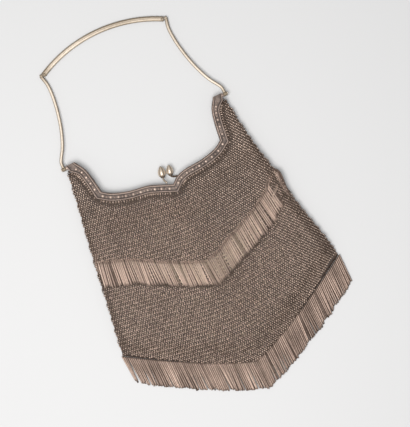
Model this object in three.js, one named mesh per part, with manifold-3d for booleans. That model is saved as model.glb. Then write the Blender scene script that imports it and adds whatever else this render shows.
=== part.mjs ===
// A metal mesh purse, lying on its back: a scalloped two part frame with a bud clasp, a stiff three bar
// handle, a hollow pouch of ring mesh and two tiers of metal fringe.
// Millimetres. +X is the purse's right, +Y runs from the pouch to the handle, +Z is up off the table.
import * as THREE from 'three';
import { mergeVertices } from 'three/addons/utils/BufferGeometryUtils.js';
import Module from 'manifold-3d';

const wasm = await Module();
wasm.setup();

// Frame: two like halves, closed on each other, with their hinge line along X
const frameSpan = 142.8;
const frameDrop = 49.7;
const frameDepth = 9.8;
const frameGap = 0.3;
const frameWall = 0.8;
const bandWidth = 6.4;
const hornRise = 1.6;
const hornFlare = 2.8;
const flareLength = 12;
const pointShift = 3;
const outerRim = 1.4;
const innerRim = 0.8;
const rimHeight = 0.6;
const beadPitch = 6.2;
const largeBead = 1.35;
const smallBead = 0.9;

// Hinge at each tip of the frame
const pinRadius = 0.7;
const knuckleRadius = 1.7;
const knuckleLength = 2.3;
const runClearance = 0.3;
const pinHead = 1.25;
const pinHeadLength = 0.5;

// Clasp
const budRadius = 3.25;
const budLength = 10.2;
const budTilt = -0.2;
const stemRadius = 0.8;
const budSpacing = 6.75;

// Handle
const armLength = 78.8;
const armWidth = 2.8;
const armThickness = 1.8;
const arcWidth = 4.3;
const arcThickness = 1.9;
const arcGroove = 0.5;
const arcRise = 14;
const handleLean = 1.2;
const armSteps = 14;
const cornerSpan = 112.6;
const cornerEye = 1.6;
const cornerEyeLength = 2.2;
const cornerPin = 0.6;
const arcEndGap = 0.9;
const armEyeLength = 3.2;
const handleFloorGap = 0.3;

// Pouch of ring mesh
const pouchTopWidth = 145.6;
const pouchWidth = 200.5;
const pouchLength = 162;
const pointDrop = 51;
const pointCurve = 1.22;
const pouchLean = 3.3;
const pouchDepth = 10.4;
const meshWall = 1;
const seamDepth = 3.4;
const mouthDrop = 5;
const mouthTuck = 2.8;
const edgeRoundness = 9;

// Fringe
const middleFringe = 23.3;
const bottomFringe = 25;
const fringeThickness = 1.1;
const fringeHead = 2.6;
const lockWidth = 9;
const lockSlit = 0.5;
const tipSpread = 1.6;

// Clearance between soft pieces that touch, and below the pouch's edge for the links of its fringe
const softGap = 0.35;
const linkGap = 0.8;

const halfSpan = frameSpan / 2;
const hingeHeight = frameDepth / 2;
const halfDepth = (frameDepth - frameGap) / 2;
const underLift = fringeThickness + softGap;
const plateDepth = rimHeight + frameWall;

// Outline of the frame's outer edge, one half: shares of half the span and of the drop. The right half
// sags a little lower than the left one
const hornRows = [
  { across: 0.89, down: 0, sag: 0 },
  { across: 0.817, down: 0.168, sag: 0 },
  { across: 0.784, down: 0.335, sag: 0.012 },
  { across: 0.751, down: 0.615, sag: 0.068 },
];
const scallopRows = [
  { across: 0.751, down: 0.615, sag: 0.068 },
  { across: 0.658, down: 0.701, sag: 0.062 },
  { across: 0.467, down: 0.794, sag: 0.038 },
  { across: 0.234, down: 0.848, sag: 0.014 },
  { across: 0.13, down: 0.9, sag: 0.006 },
  { across: 0, down: 1, sag: 0 },
];

// Bow of a handle arm: share of its length up from the hinge, and inward share of the arm's lean
const armRows = [
  { up: 0, inward: 0 },
  { up: 0.078, inward: 0.02 },
  { up: 0.13, inward: 0.15 },
  { up: 0.19, inward: 0.335 },
  { up: 0.254, inward: 0.49 },
  { up: 0.38, inward: 0.72 },
  { up: 0.508, inward: 0.895 },
  { up: 0.635, inward: 1.02 },
  { up: 0.76, inward: 1.1 },
  { up: 0.888, inward: 1.115 },
  { up: 0.96, inward: 1.05 },
  { up: 1, inward: 1 },
];

// Side edges and thickness of the pouch: shares of its length, of its widening and of its depth
const pouchRows = [
  { down: 0, widening: 0, lean: 0, thick: 0.94 },
  { down: 0.25, widening: 0.19, lean: -0.12, thick: 1 },
  { down: 0.5, widening: 0.44, lean: -0.04, thick: 0.92 },
  { down: 0.75, widening: 0.71, lean: 0.5, thick: 0.78 },
  { down: 0.9, widening: 0.9, lean: 0.9, thick: 0.62 },
  { down: 1, widening: 1, lean: 1, thick: 0.4 },
];

// Soft folds of the pouch's front: shares of its half width and of its length, height in shares of its depth
const foldRows = [
  { fromAcross: 0.9, fromDown: 0.52, toAcross: 0.93, toDown: 0.86, reach: 0.05, height: 0.08 },
  { fromAcross: -0.64, fromDown: 0.3, toAcross: -0.8, toDown: 0.5, reach: 0.12, height: 0.07 },
  { fromAcross: 0.62, fromDown: 0.32, toAcross: 0.84, toDown: 0.46, reach: 0.12, height: 0.07 },
  { fromAcross: 0.03, fromDown: 0.44, toAcross: 0.02, toDown: 0.68, reach: 0.13, height: 0.06 },
  { fromAcross: -0.34, fromDown: 0.4, toAcross: -0.4, toDown: 0.56, reach: 0.16, height: -0.08 },
  { fromAcross: 0.36, fromDown: 0.4, toAcross: 0.42, toDown: 0.56, reach: 0.16, height: -0.08 },
  { fromAcross: -0.45, fromDown: 0.86, toAcross: 0.1, toDown: 1.12, reach: 0.12, height: 0.05 },
];

// Line on which the middle fringe hangs: shares of the pouch's half width and of its length
const fringeRows = [
  { across: 0, down: 0.725 },
  { across: 0.17, down: 0.709 },
  { across: 0.36, down: 0.657 },
  { across: 0.58, down: 0.592 },
  { across: 0.78, down: 0.541 },
  { across: 1, down: 0.49 },
];

// Profile of a clasp bud: share of its length from the stem up, share of its radius
const budRows = [
  { up: 0, out: 0 },
  { up: 0, out: 0.42 },
  { up: 0.1, out: 0.5 },
  { up: 0.22, out: 0.92 },
  { up: 0.42, out: 1 },
  { up: 0.66, out: 0.84 },
  { up: 0.86, out: 0.5 },
  { up: 1, out: 0.14 },
  { up: 1, out: 0 },
];

const finish = {
  frame: { color: 0x6f6258, roughness: 0.42, metalness: 0.9 },
  handle: { color: 0xd6cdbe, roughness: 0.28, metalness: 0.9 },
  clasp: { color: 0xb9a88f, roughness: 0.3, metalness: 0.9 },
  mesh: { color: 0x7f7065, roughness: 0.5, metalness: 0.8 },
  fringe: { color: 0xa79180, roughness: 0.45, metalness: 0.8 },
};

const purse = new THREE.Group();

function toManifold(geometry) {
  const plain = geometry.clone();
  for (const name of Object.keys(plain.attributes)) {
    if (name !== 'position') plain.deleteAttribute(name);
  }
  const merged = mergeVertices(plain, 1e-4);
  return new wasm.Manifold(new wasm.Mesh({
    numProp: 3,
    vertProperties: new Float32Array(merged.attributes.position.array),
    triVerts: new Uint32Array(merged.index.array),
  }));
}

function toGeometry(manifold) {
  const mesh = manifold.getMesh();
  const geometry = new THREE.BufferGeometry();
  geometry.setAttribute('position', new THREE.BufferAttribute(new Float32Array(mesh.vertProperties), 3));
  geometry.setIndex(new THREE.BufferAttribute(new Uint32Array(mesh.triVerts), 1));
  return geometry;
}

function addPiece(name, look, geometry) {
  geometry.computeVertexNormals();
  const piece = new THREE.Mesh(geometry, new THREE.MeshStandardMaterial(finish[look]));
  piece.name = name;
  purse.add(piece);
}

// A closed solid through rings of points; each ring has the same number of points
function loft(rings, capStrip) {
  const count = rings[0].length;
  const points = rings.flat().flatMap((p) => [p.x, p.y, p.z]);
  const faces = [];
  for (let r = 0; r < rings.length - 1; r += 1) {
    for (let i = 0; i < count; i += 1) {
      const a = r * count + i;
      const b = r * count + ((i + 1) % count);
      faces.push(a, b, a + count, b, b + count, a + count);
    }
  }
  const last = (rings.length - 1) * count;
  for (const [a, b, c] of capStrip(count)) {
    faces.push(a, c, b);
    faces.push(last + a, last + b, last + c);
  }
  const geometry = new THREE.BufferGeometry();
  geometry.setAttribute('position', new THREE.BufferAttribute(new Float32Array(points), 3));
  geometry.setIndex(faces);
  const solid = toManifold(geometry);
  if (solid.volume() > 0) return solid;
  for (let i = 0; i < faces.length; i += 3) {
    [faces[i], faces[i + 1]] = [faces[i + 1], faces[i]];
  }
  geometry.setIndex(faces);
  return toManifold(geometry);
}

// Cap of a four sided ring
function boxCap() {
  return [[0, 1, 2], [0, 2, 3]];
}

// Cap between the front and the back of a flat ring that runs out over the front and home over the back
function flatCap(count) {
  const half = count / 2;
  const faces = [];
  for (let i = 0; i < half; i += 1) {
    const backHere = (count - i) % count;
    const backNext = count - i - 1;
    if (i > 0) faces.push([i, i + 1, backHere]);
    if (i < half - 1) faces.push([i + 1, backNext, i === 0 ? 0 : backHere]);
  }
  return faces;
}

function interpolate(rows, key, value, column) {
  const next = Math.max(1, rows.findIndex((row) => row[key] >= value));
  const high = rows[value > rows[rows.length - 1][key] ? rows.length - 1 : next];
  const low = rows[rows.indexOf(high) - 1];
  const share = (value - low[key]) / (high[key] - low[key]);
  const eased = Math.min(1, Math.max(0, share));
  return THREE.MathUtils.lerp(low[column], high[column], eased);
}

// A smooth value from a table, through a curve over its rows
function smoothTable(rows, key, column) {
  const curve = new THREE.CatmullRomCurve3(rows.map((row) => new THREE.Vector3(row[key], row[column], 0)));
  const samples = curve.getPoints(rows.length * 8).map((p) => ({ at: p.x, value: p.y }));
  return (value) => interpolate(samples, 'at', value, 'value');
}

function cylinderAlongX(radius, fromX, toX, y, z, sides = 12) {
  const low = Math.min(fromX, toX);
  const length = Math.abs(toX - fromX);
  const geometry = new THREE.CylinderGeometry(radius, radius, length, sides);
  geometry.rotateZ(Math.PI / 2);
  geometry.translate(low + length / 2, y, z);
  return toManifold(geometry);
}

function block(lowX, highX, lowY, highY, lowZ, highZ) {
  const x = Math.min(lowX, highX);
  const width = Math.abs(highX - lowX);
  const geometry = new THREE.BoxGeometry(width, highY - lowY, highZ - lowZ);
  geometry.translate(x + width / 2, (lowY + highY) / 2, (lowZ + highZ) / 2);
  return toManifold(geometry);
}

// The frame's outer edge from the left tip to the right tip, with the middle point set off to one side
function frameEdge() {
  const half = (side) => {
    const place = (row) => {
      const middle = 1 - Math.min(1, row.across / scallopRows[4].across);
      const down = row.down + (side > 0 ? row.sag : 0);
      const y = hornRise - down * (frameDrop + hornRise);
      return new THREE.Vector3(side * row.across * halfSpan, y, middle);
    };
    const horn = new THREE.CatmullRomCurve3(hornRows.map(place)).getPoints(4);
    const scallop = new THREE.CatmullRomCurve3(scallopRows.map(place)).getPoints(8);
    return [...horn, ...scallop.slice(1)];
  };
  const all = [...half(-1).slice(0, -1), ...half(1).reverse()];
  return all.map((p) => new THREE.Vector2(p.x + pointShift * p.z, p.y));
}

const edge = frameEdge();
const edgeLengths = edge.map(() => 0);
for (let i = 1; i < edge.length; i += 1) {
  edgeLengths[i] = edgeLengths[i - 1] + edge[i].distanceTo(edge[i - 1]);
}
const edgeTotal = edgeLengths[edge.length - 1];

// Mitred inward direction at each point of the edge, towards the mesh
const edgeInward = edge.map((p, i) => {
  const before = edge[Math.max(0, i - 1)];
  const after = edge[Math.min(edge.length - 1, i + 1)];
  const normals = [];
  if (i > 0) normals.push(new THREE.Vector2(p.y - before.y, before.x - p.x).normalize());
  if (i < edge.length - 1) normals.push(new THREE.Vector2(after.y - p.y, p.x - after.x).normalize());
  if (normals.length === 1) return normals[0];
  const sum = normals[0].clone().add(normals[1]);
  return sum.multiplyScalar(1 / Math.max(0.7, 1 + normals[0].dot(normals[1])));
});

function bandWidthAt(i) {
  const fromTip = Math.min(edgeLengths[i], edgeTotal - edgeLengths[i]);
  const flare = Math.max(0, 1 - fromTip / flareLength);
  return bandWidth + hornFlare * flare * flare;
}

// A point of the band: share 0 is its outer edge and 1 is its inner edge, plus a distance
function bandPoint(i, share, distance) {
  const reach = bandWidthAt(i) * share + distance;
  const point = edge[i].clone().addScaledVector(edgeInward[i], reach);
  // the tips are cut off level
  if (i === 0 || i === edge.length - 1) point.y = edge[i].y;
  return point;
}

// A flat strip of the band, between two offsets, as thick as from lowZ to highZ
function bandStrip(from, to, lowZ, highZ, tipInset) {
  const rings = edge.map((_, i) => {
    const a = bandPoint(i, from.share, from.distance);
    const b = bandPoint(i, to.share, to.distance);
    if (i === 0 || i === edge.length - 1) {
      a.y -= tipInset;
      b.y -= tipInset;
    }
    return [
      new THREE.Vector3(a.x, a.y, lowZ),
      new THREE.Vector3(b.x, b.y, lowZ),
      new THREE.Vector3(b.x, b.y, highZ),
      new THREE.Vector3(a.x, a.y, highZ),
    ];
  });
  return loft(rings, boxCap);
}

// A raised bead, as high as the rims; its foot is sunk into the band
function bead(x, y, z, radius, sides) {
  const foot = 0.2;
  const geometry = new THREE.CylinderGeometry(radius * 0.45, radius, rimHeight + foot, sides);
  geometry.rotateX(Math.PI / 2);
  geometry.translate(x, y, z + (rimHeight - foot) / 2);
  return toManifold(geometry);
}

// Beads along the middle of the band, large and small by turns
function beadRow(z) {
  const beads = [];
  const margin = beadPitch / 2;
  const count = Math.floor((edgeTotal - 2 * margin) / (beadPitch / 2));
  const start = (edgeTotal - count * (beadPitch / 2)) / 2;
  for (let n = 0; n <= count; n += 1) {
    const along = start + n * (beadPitch / 2);
    const i = Math.min(edge.length - 2, edgeLengths.findIndex((length) => length > along) - 1);
    const share = (along - edgeLengths[i]) / (edgeLengths[i + 1] - edgeLengths[i]);
    const channel = (outerRim + bandWidth - innerRim) / 2;
    const a = bandPoint(i, 0, channel);
    const point = a.lerp(bandPoint(i + 1, 0, channel), share);
    beads.push(n % 2 ? bead(point.x, point.y, z, smallBead, 5) : bead(point.x, point.y, z, largeBead, 6));
  }
  return wasm.Manifold.union(beads);
}

// Where the knuckles of a frame half stand along X, for the right tip
const knuckleInset = 1.4;
const outerKnuckle = { from: halfSpan - knuckleInset, to: halfSpan - knuckleInset + knuckleLength };
const innerEnd = outerKnuckle.from - runClearance;
const innerKnuckle = { from: innerEnd - knuckleLength, to: innerEnd };

function knuckle(place, side, grow, lowZ, highZ) {
  const from = side * (place.from - grow);
  const to = side * (place.to + grow);
  const radius = knuckleRadius + grow;
  const barrel = cylinderAlongX(radius, from, to, 0, hingeHeight);
  return barrel.add(block(from, to, -radius, Math.min(hornRise, radius), lowZ, highZ));
}

// A frame half in the place of the front one: face on top, open underneath
function frameHalf(ownKnuckle, otherKnuckle) {
  const top = frameDepth - rimHeight;
  const low = frameDepth - halfDepth;
  const outside = { share: 0, distance: 0 };
  const inside = { share: 1, distance: 0 };
  let half = bandStrip(outside, inside, low, top, 0);
  half = half.add(bandStrip(outside, { share: 0, distance: outerRim }, top - 0.2, frameDepth, 0));
  half = half.add(bandStrip({ share: 1, distance: -innerRim }, inside, top - 0.2, frameDepth, 0));
  const pocket = bandStrip(
    { share: 0, distance: frameWall },
    { share: 1, distance: 3 },
    low - 1,
    frameDepth - plateDepth,
    frameWall,
  );
  half = half.subtract(pocket).add(beadRow(top));
  for (const side of [-1, 1]) {
    half = half.subtract(knuckle(otherKnuckle, side, runClearance, 0, hingeHeight));
    half = half.add(knuckle(ownKnuckle, side, 0, hingeHeight, top - 0.1));
    half = half.subtract(cylinderAlongX(
      pinRadius + runClearance,
      side * (halfSpan - 12),
      side * (halfSpan + 3),
      0,
      hingeHeight,
    ));
  }
  return half;
}

function buildFrame() {
  addPiece('frame_front', 'frame', toGeometry(frameHalf(innerKnuckle, outerKnuckle)));
  const back = frameHalf(outerKnuckle, innerKnuckle);
  const turned = back.mirror([0, 0, 1]).translate([0, 0, frameDepth]);
  addPiece('frame_back', 'frame', toGeometry(turned));
}

// The handle arm's eye stands just outside the outer knuckle
const armEye = { from: outerKnuckle.to + runClearance, to: outerKnuckle.to + runClearance + armEyeLength };
const armMiddle = (armEye.from + armEye.to) / 2;

function buildHingePins() {
  for (const [side, word] of [[-1, 'left'], [1, 'right']]) {
    const inner = side * (innerKnuckle.from - 0.4);
    const outer = side * (armEye.to + runClearance);
    const shank = cylinderAlongX(pinRadius, inner, outer, 0, hingeHeight);
    const head = cylinderAlongX(pinHead, outer, outer + side * pinHeadLength, 0, hingeHeight);
    addPiece(`hinge_pin_${word}`, 'clasp', toGeometry(shank.add(head)));
  }
}

function tube(points, radius, sides, steps) {
  const section = new THREE.Shape();
  for (let n = 0; n < sides; n += 1) {
    const angle = (2 * Math.PI * n) / sides;
    section[n ? 'lineTo' : 'moveTo'](radius * Math.cos(angle), radius * Math.sin(angle));
  }
  const path = new THREE.CatmullRomCurve3(points);
  return toManifold(new THREE.ExtrudeGeometry(section, { steps, extrudePath: path }));
}

// A bud with its stem; the stem bends from the bud's base to the wall of its own frame half
function claspBud(x, y, foot) {
  const profile = budRows.map((row) => new THREE.Vector2(row.out * budRadius, row.up * budLength));
  const bud = new THREE.LatheGeometry(profile, 10);
  bud.translate(0, -budLength / 2, 0);
  bud.rotateZ(budTilt);
  bud.translate(x, y, hingeHeight);
  const down = new THREE.Vector3(Math.sin(budTilt), -Math.cos(budTilt), 0);
  const base = new THREE.Vector3(x, y, hingeHeight).addScaledVector(down, budLength / 2 - 0.4);
  const knee = base.clone().addScaledVector(down, 1.4);
  const ankle = foot.point.clone().addScaledVector(foot.outward, 1.5);
  return toManifold(bud).add(tube([base, knee, ankle, foot.point], stemRadius, 8, 6));
}

// Where a stem meets the frame's outer edge, near a place along X and at a height in one half's wall
function stemFoot(x, height) {
  const i = edge.findIndex((p, n) => n > 6 && p.x > x);
  const share = (x - edge[i - 1].x) / (edge[i].x - edge[i - 1].x);
  const y = THREE.MathUtils.lerp(edge[i - 1].y, edge[i].y, share);
  const along = edge[i].clone().sub(edge[i - 1]).normalize();
  const outward = new THREE.Vector3(-along.y, along.x, 0);
  return { point: new THREE.Vector3(x, y, height).addScaledVector(outward, softGap), outward };
}

function buildClasp() {
  const wallMiddle = halfDepth / 2;
  const left = pointShift - budSpacing * 0.66;
  const right = left + budSpacing;
  const leftFoot = stemFoot(left + 0.2, frameDepth - wallMiddle);
  const rightFoot = stemFoot(right + 3.6, wallMiddle);
  const budHeight = -frameDrop * 0.735;
  addPiece('clasp_front', 'clasp', toGeometry(claspBud(left, budHeight, leftFoot)));
  addPiece('clasp_back', 'clasp', toGeometry(claspBud(right, budHeight - 1.4, rightFoot)));
}

// The handle lies with its corners just clear of the table, and leans to the left
const cornerHeight = cornerEye + handleFloorGap;
const cornerX = cornerSpan / 2;
const armLean = armMiddle - cornerX - armWidth / 2;

function armPath(side) {
  return armRows.map((row) => new THREE.Vector3(
    side * (armMiddle - row.inward * armLean) - handleLean * row.up,
    row.up * armLength,
    THREE.MathUtils.lerp(hingeHeight, cornerHeight, row.up),
  ));
}

// Flat bar section with chamfered corners: first thickness, then width
function barSection(thickness, width, groove) {
  const t = thickness / 2;
  const w = width / 2;
  const c = thickness * 0.28;
  const points = [[-t, -w + c], [-t + c, -w], [t - c, -w], [t, -w + c]];
  if (groove > 0) points.push([t, -w * 0.3], [t - groove, 0], [t, w * 0.3]);
  points.push([t, w - c], [t - c, w], [-t + c, w], [-t, w - c]);
  if (groove > 0) points.push([-t, w * 0.3], [-t + groove, 0], [-t, -w * 0.3]);
  return new THREE.Shape(points.map(([x, y]) => new THREE.Vector2(x, y)));
}

function buildArm(side, word) {
  const path = new THREE.CatmullRomCurve3(armPath(side));
  const section = barSection(armThickness, armWidth, 0);
  const bar = new THREE.ExtrudeGeometry(section, { steps: armSteps, extrudePath: path });
  let arm = toManifold(bar);
  arm = arm.add(cylinderAlongX(knuckleRadius, side * armEye.from, side * armEye.to, 0, hingeHeight));
  arm = arm.subtract(cylinderAlongX(
    pinRadius + runClearance,
    side * (armEye.from - 2),
    side * (armEye.to + 2),
    0,
    hingeHeight,
  ));
  const eyeOuter = cornerX + cornerEyeLength;
  const eye = cylinderAlongX(cornerEye, side * cornerX, side * eyeOuter, armLength, cornerHeight);
  const pinEnd = cornerX - arcEndGap - cornerEyeLength;
  const pin = cylinderAlongX(cornerPin, side * pinEnd, side * (cornerX + 1), armLength, cornerHeight, 10);
  arm = arm.add(eye.add(pin).translate([-handleLean, 0, 0]));
  addPiece(`handle_arm_${word}`, 'handle', toGeometry(arm));
}

function buildArc() {
  const endX = cornerX - arcEndGap - cornerEyeLength / 2;
  const radius = (endX * endX + arcRise * arcRise) / (2 * arcRise);
  const halfAngle = Math.asin(endX / radius);
  const points = [];
  const count = 14;
  for (let n = 0; n <= count; n += 1) {
    const angle = THREE.MathUtils.lerp(-halfAngle, halfAngle, n / count);
    const rise = radius * (Math.cos(angle) - Math.cos(halfAngle));
    const drop = (cornerEye - arcThickness / 2) * (rise / arcRise);
    points.push(new THREE.Vector3(radius * Math.sin(angle), armLength + rise, cornerHeight - drop));
  }
  const path = new THREE.CatmullRomCurve3(points);
  const section = barSection(arcThickness, arcWidth, arcGroove);
  let arc = toManifold(new THREE.ExtrudeGeometry(section, { steps: count, extrudePath: path }));
  for (const side of [-1, 1]) {
    const outer = cornerX - arcEndGap;
    // each end of the bar is cut square beside the arm, then carries its eye
    arc = arc.subtract(block(
      side * outer,
      side * (outer + 10),
      armLength - 10,
      armLength + 10,
      cornerHeight - 10,
      cornerHeight + 10,
    ));
    const inner = outer - cornerEyeLength;
    arc = arc.add(cylinderAlongX(cornerEye, side * inner, side * outer, armLength, cornerHeight));
    arc = arc.subtract(cylinderAlongX(
      cornerPin + runClearance,
      side * (inner - 8),
      side * (outer + 2),
      armLength,
      cornerHeight,
    ));
  }
  addPiece('handle_arc', 'handle', toGeometry(arc.translate([-handleLean, 0, 0])));
}

const wideningAt = smoothTable(pouchRows, 'down', 'widening');
const leanAt = smoothTable(pouchRows, 'down', 'lean');
const thickAt = smoothTable(pouchRows, 'down', 'thick');

function halfWidthAt(down) {
  return (pouchTopWidth + (pouchWidth - pouchTopWidth) * wideningAt(down)) / 2;
}

function middleAt(down) {
  return pouchLean * leanAt(down);
}

function distanceToEdge(x, y) {
  const point = new THREE.Vector3(x, y, 0);
  const nearest = new THREE.Vector3();
  let best = Infinity;
  for (let i = 1; i < edge.length; i += 1) {
    const line = new THREE.Line3(
      new THREE.Vector3(edge[i - 1].x, edge[i - 1].y, 0),
      new THREE.Vector3(edge[i].x, edge[i].y, 0),
    );
    line.closestPointToPoint(point, true, nearest);
    best = Math.min(best, nearest.distanceTo(point));
  }
  return best;
}

// Height of the folds over the plain front
function foldAt(across, down) {
  let height = 0;
  const place = new THREE.Vector3(across, down, 0);
  const nearest = new THREE.Vector3();
  for (const fold of foldRows) {
    const from = new THREE.Vector3(fold.fromAcross, fold.fromDown, 0);
    const line = new THREE.Line3(from, new THREE.Vector3(fold.toAcross, fold.toDown, 0));
    line.closestPointToPoint(place, true, nearest);
    const away = nearest.distanceTo(place) / fold.reach;
    height += fold.height * pouchDepth * Math.exp(-away * away);
  }
  return height;
}

function smoothRamp(value, low, high) {
  return THREE.MathUtils.smoothstep(value, low, high);
}

function bottomHeight(across) {
  return -pouchLength - pointDrop * (1 - Math.abs(across) ** pointCurve);
}

// Heights of the pouch's underside and its front off the table
function pouchHeights(x, y, across, down) {
  const bandEnd = bandWidth + 5.6;
  const free = smoothRamp(distanceToEdge(x, y), bandEnd, bandEnd + 24);
  const seam = smoothRamp(down, 0.9, 1);
  const { lerp } = THREE.MathUtils;
  const low = lerp(plateDepth + softGap, underLift, free) * (1 - smoothRamp(down, 0.84, 0.97));
  const open = underLift + pouchDepth * thickAt(down) + foldAt(across, down);
  const high = lerp(lerp(frameDepth - plateDepth - softGap, open, free), low + seamDepth, seam);
  return { low, high };
}

// A point of the pouch's skin or over it: across runs from -1 to 1 between the side edges, y is its
// place below the hinge line, and face is 1 on the front and -1 on the back
function skinPoint(across, y, lift, face) {
  const down = THREE.MathUtils.clamp(y / bottomHeight(across), 0, 1);
  const x = middleAt(down) + across * halfWidthAt(down);
  const { low, high } = pouchHeights(x, y, across, down);
  const crown = Math.sqrt(Math.max(0, 1 - Math.abs(across) ** edgeRoundness));
  const flat = (high - low) / 2 + lift;
  return new THREE.Vector3(x + lift * across, y, (low + high) / 2 + face * flat * crown);
}

// Stations along the mouth, inside the frame, as points of the plane
function mouthLine() {
  const points = [];
  const tipX = pouchTopWidth / 2;
  for (let i = 0; i < edge.length; i += 2) {
    const point = edge[i].clone().addScaledVector(edgeInward[i], frameWall + mouthTuck);
    if (point.y < -mouthDrop + 1) points.push(point);
  }
  const left = points[0];
  const right = points[points.length - 1];
  const sides = [0, 0.03, 0.12, 0.4];
  const leftSide = sides.map((s) => new THREE.Vector2(-tipX, -mouthDrop).lerp(left, s));
  const rightSide = sides.map((s) => new THREE.Vector2(tipX, -mouthDrop).lerp(right, s));
  return [...leftSide, ...points, ...rightSide.reverse()];
}

const mouth = mouthLine();
const mouthLengths = mouth.map(() => 0);
for (let i = 1; i < mouth.length; i += 1) {
  mouthLengths[i] = mouthLengths[i - 1] + mouth[i].distanceTo(mouth[i - 1]);
}
const mouthTotal = mouthLengths[mouth.length - 1];
const mouthHalf = mouthLengths[(mouth.length - 1) / 2];

// Place along the bottom edge under a station of the mouth: the frame's middle point stands over its tip
function bottomAcrossAt(i) {
  const along = mouthLengths[i];
  return along < mouthHalf ? along / mouthHalf - 1 : (along - mouthHalf) / (mouthTotal - mouthHalf);
}

// Ring of the pouch's skin at one level, out over the front and home over the back. Level 0 is the
// mouth, 1 the bottom edge
function pouchRing(level, lift, rise) {
  const stations = mouth.map((start, i) => {
    const bottomAcross = bottomAcrossAt(i);
    const share = start.y / bottomHeight(bottomAcross);
    const mouthAcross = (start.x - middleAt(share)) / halfWidthAt(share);
    const across = THREE.MathUtils.clamp(mouthAcross, -1, 1);
    return {
      across: THREE.MathUtils.lerp(across, bottomAcross, level),
      y: THREE.MathUtils.lerp(start.y, bottomHeight(bottomAcross), level) + rise,
    };
  });
  const front = stations.map((s) => skinPoint(s.across, s.y, lift, 1));
  const back = stations.slice(1, -1).map((s) => skinPoint(s.across, s.y, lift, -1));
  return [...front, ...back.reverse()];
}

const pouchLevels = [0, 0.06, 0.13, 0.21, 0.3, 0.4, 0.5, 0.6, 0.7, 0.79, 0.87, 0.94, 1];

function buildPouch() {
  const outer = pouchLevels.map((level) => pouchRing(level, 0, 0));
  const seamStop = 0.975;
  const innerLevels = pouchLevels.filter((level) => level < seamStop);
  const inner = innerLevels.map((level) => pouchRing(level, -meshWall, 0));
  inner.unshift(pouchRing(0, -meshWall, mouthTuck));
  inner.push(pouchRing(seamStop, -meshWall, 0));
  const solid = loft(outer, flatCap).subtract(loft(inner, flatCap));
  addPiece('mesh_pouch', 'mesh', toGeometry(solid));
}

const fringeDrop = smoothTable(fringeRows, 'across', 'down');

// Small even wander for the tips of the locks
function wander(n) {
  return Math.sin(n * 2.4) * 0.6 + Math.sin(n * 5.1 + 1) * 0.4;
}

// A point over the pouch at a place along the fringe: across, and how far below the line it hangs
function middlePoint(across, below, lift) {
  return skinPoint(across, -pouchLength * fringeDrop(Math.abs(across)) - below, lift, 1);
}

// The same place under the pouch, at a height off the table
function underPoint(across, below, height) {
  const point = middlePoint(across, below, 0);
  point.z = height;
  return point;
}

// Even places along a fringe, measured over the skin, one of them in its middle
function evenPlaces(pointAt, limit, spacing) {
  const fine = 400;
  const shares = [];
  const lengths = [0];
  for (let n = 0; n <= fine; n += 1) {
    shares.push(THREE.MathUtils.lerp(-limit, limit, n / fine));
    if (n > 0) lengths.push(lengths[n - 1] + pointAt(shares[n]).distanceTo(pointAt(shares[n - 1])));
  }
  const total = lengths[fine];
  const count = 2 * Math.round(total / spacing / 2);
  const places = [];
  for (let k = 0; k <= count; k += 1) {
    const target = (total * k) / count;
    const n = Math.max(1, lengths.findIndex((length) => length >= target - 1e-6));
    const share = (target - lengths[n - 1]) / (lengths[n] - lengths[n - 1]);
    places.push(THREE.MathUtils.lerp(shares[n - 1], shares[n], share));
  }
  return places;
}

// A fringe: locks fused to a head strip. pointAt gives a point from across, below and lift
function fringe(places, pointAt, length, headLift, lockLift, bends) {
  const head = places.map((across) => [
    pointAt(across, 0, headLift.low),
    pointAt(across, fringeHead, headLift.low),
    pointAt(across, fringeHead, headLift.high),
    pointAt(across, 0, headLift.high),
  ]);
  const solids = [loft(head, boxCap)];
  for (let n = 0; n < places.length - 1; n += 1) {
    const width = places[n + 1] - places[n];
    const slit = (width * lockSlit) / lockWidth / 2;
    const tip = length + tipSpread * wander(n) * 0.5;
    const shift = width * 0.12 * wander(n + 7);
    const rings = [];
    for (let k = 0; k <= bends; k += 1) {
      const share = k / bends;
      const below = THREE.MathUtils.lerp(fringeHead * 0.4, tip, share);
      const a = places[n] + slit + shift * share;
      const b = places[n + 1] - slit + shift * share;
      const low = THREE.MathUtils.lerp(lockLift.low, lockLift.tipLow, share);
      const high = low + fringeThickness - 0.2;
      rings.push([
        pointAt(a, below, low),
        pointAt(b, below, low),
        pointAt(b, below, high),
        pointAt(a, below, high),
      ]);
    }
    solids.push(loft(rings, boxCap));
  }
  return wasm.Manifold.union(solids);
}

function buildMiddleFringe() {
  const frontPlaces = evenPlaces((across) => middlePoint(across, 0, softGap), 0.94, lockWidth);
  const frontHead = { low: softGap + 0.25, high: softGap + fringeThickness + 0.5 };
  const frontLock = { low: softGap + 0.4, tipLow: softGap + 0.4 };
  const front = fringe(frontPlaces, middlePoint, middleFringe, frontHead, frontLock, 2);
  addPiece('fringe_middle_front', 'fringe', toGeometry(front));
  const backPlaces = evenPlaces((across) => underPoint(across, 0, 0), 0.95, lockWidth);
  const backHead = { low: 0, high: fringeThickness };
  const back = fringe(backPlaces, underPoint, middleFringe, backHead, { low: 0.1, tipLow: 0 }, 1);
  addPiece('fringe_middle_back', 'fringe', toGeometry(back));
}

function buildBottomFringe() {
  const reach = pouchWidth / 2;
  const hang = (across, below, z) => new THREE.Vector3(
    pouchLean + across * reach,
    bottomHeight(across) - linkGap - below,
    z,
  );
  const places = evenPlaces((across) => hang(across, 0, 0), 1, lockWidth);
  const headLift = { low: 0.2, high: seamDepth - 0.8 };
  const lockLift = { low: 0.5, tipLow: 0 };
  addPiece('fringe_bottom', 'fringe', toGeometry(fringe(places, hang, bottomFringe, headLift, lockLift, 1)));
}

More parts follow.
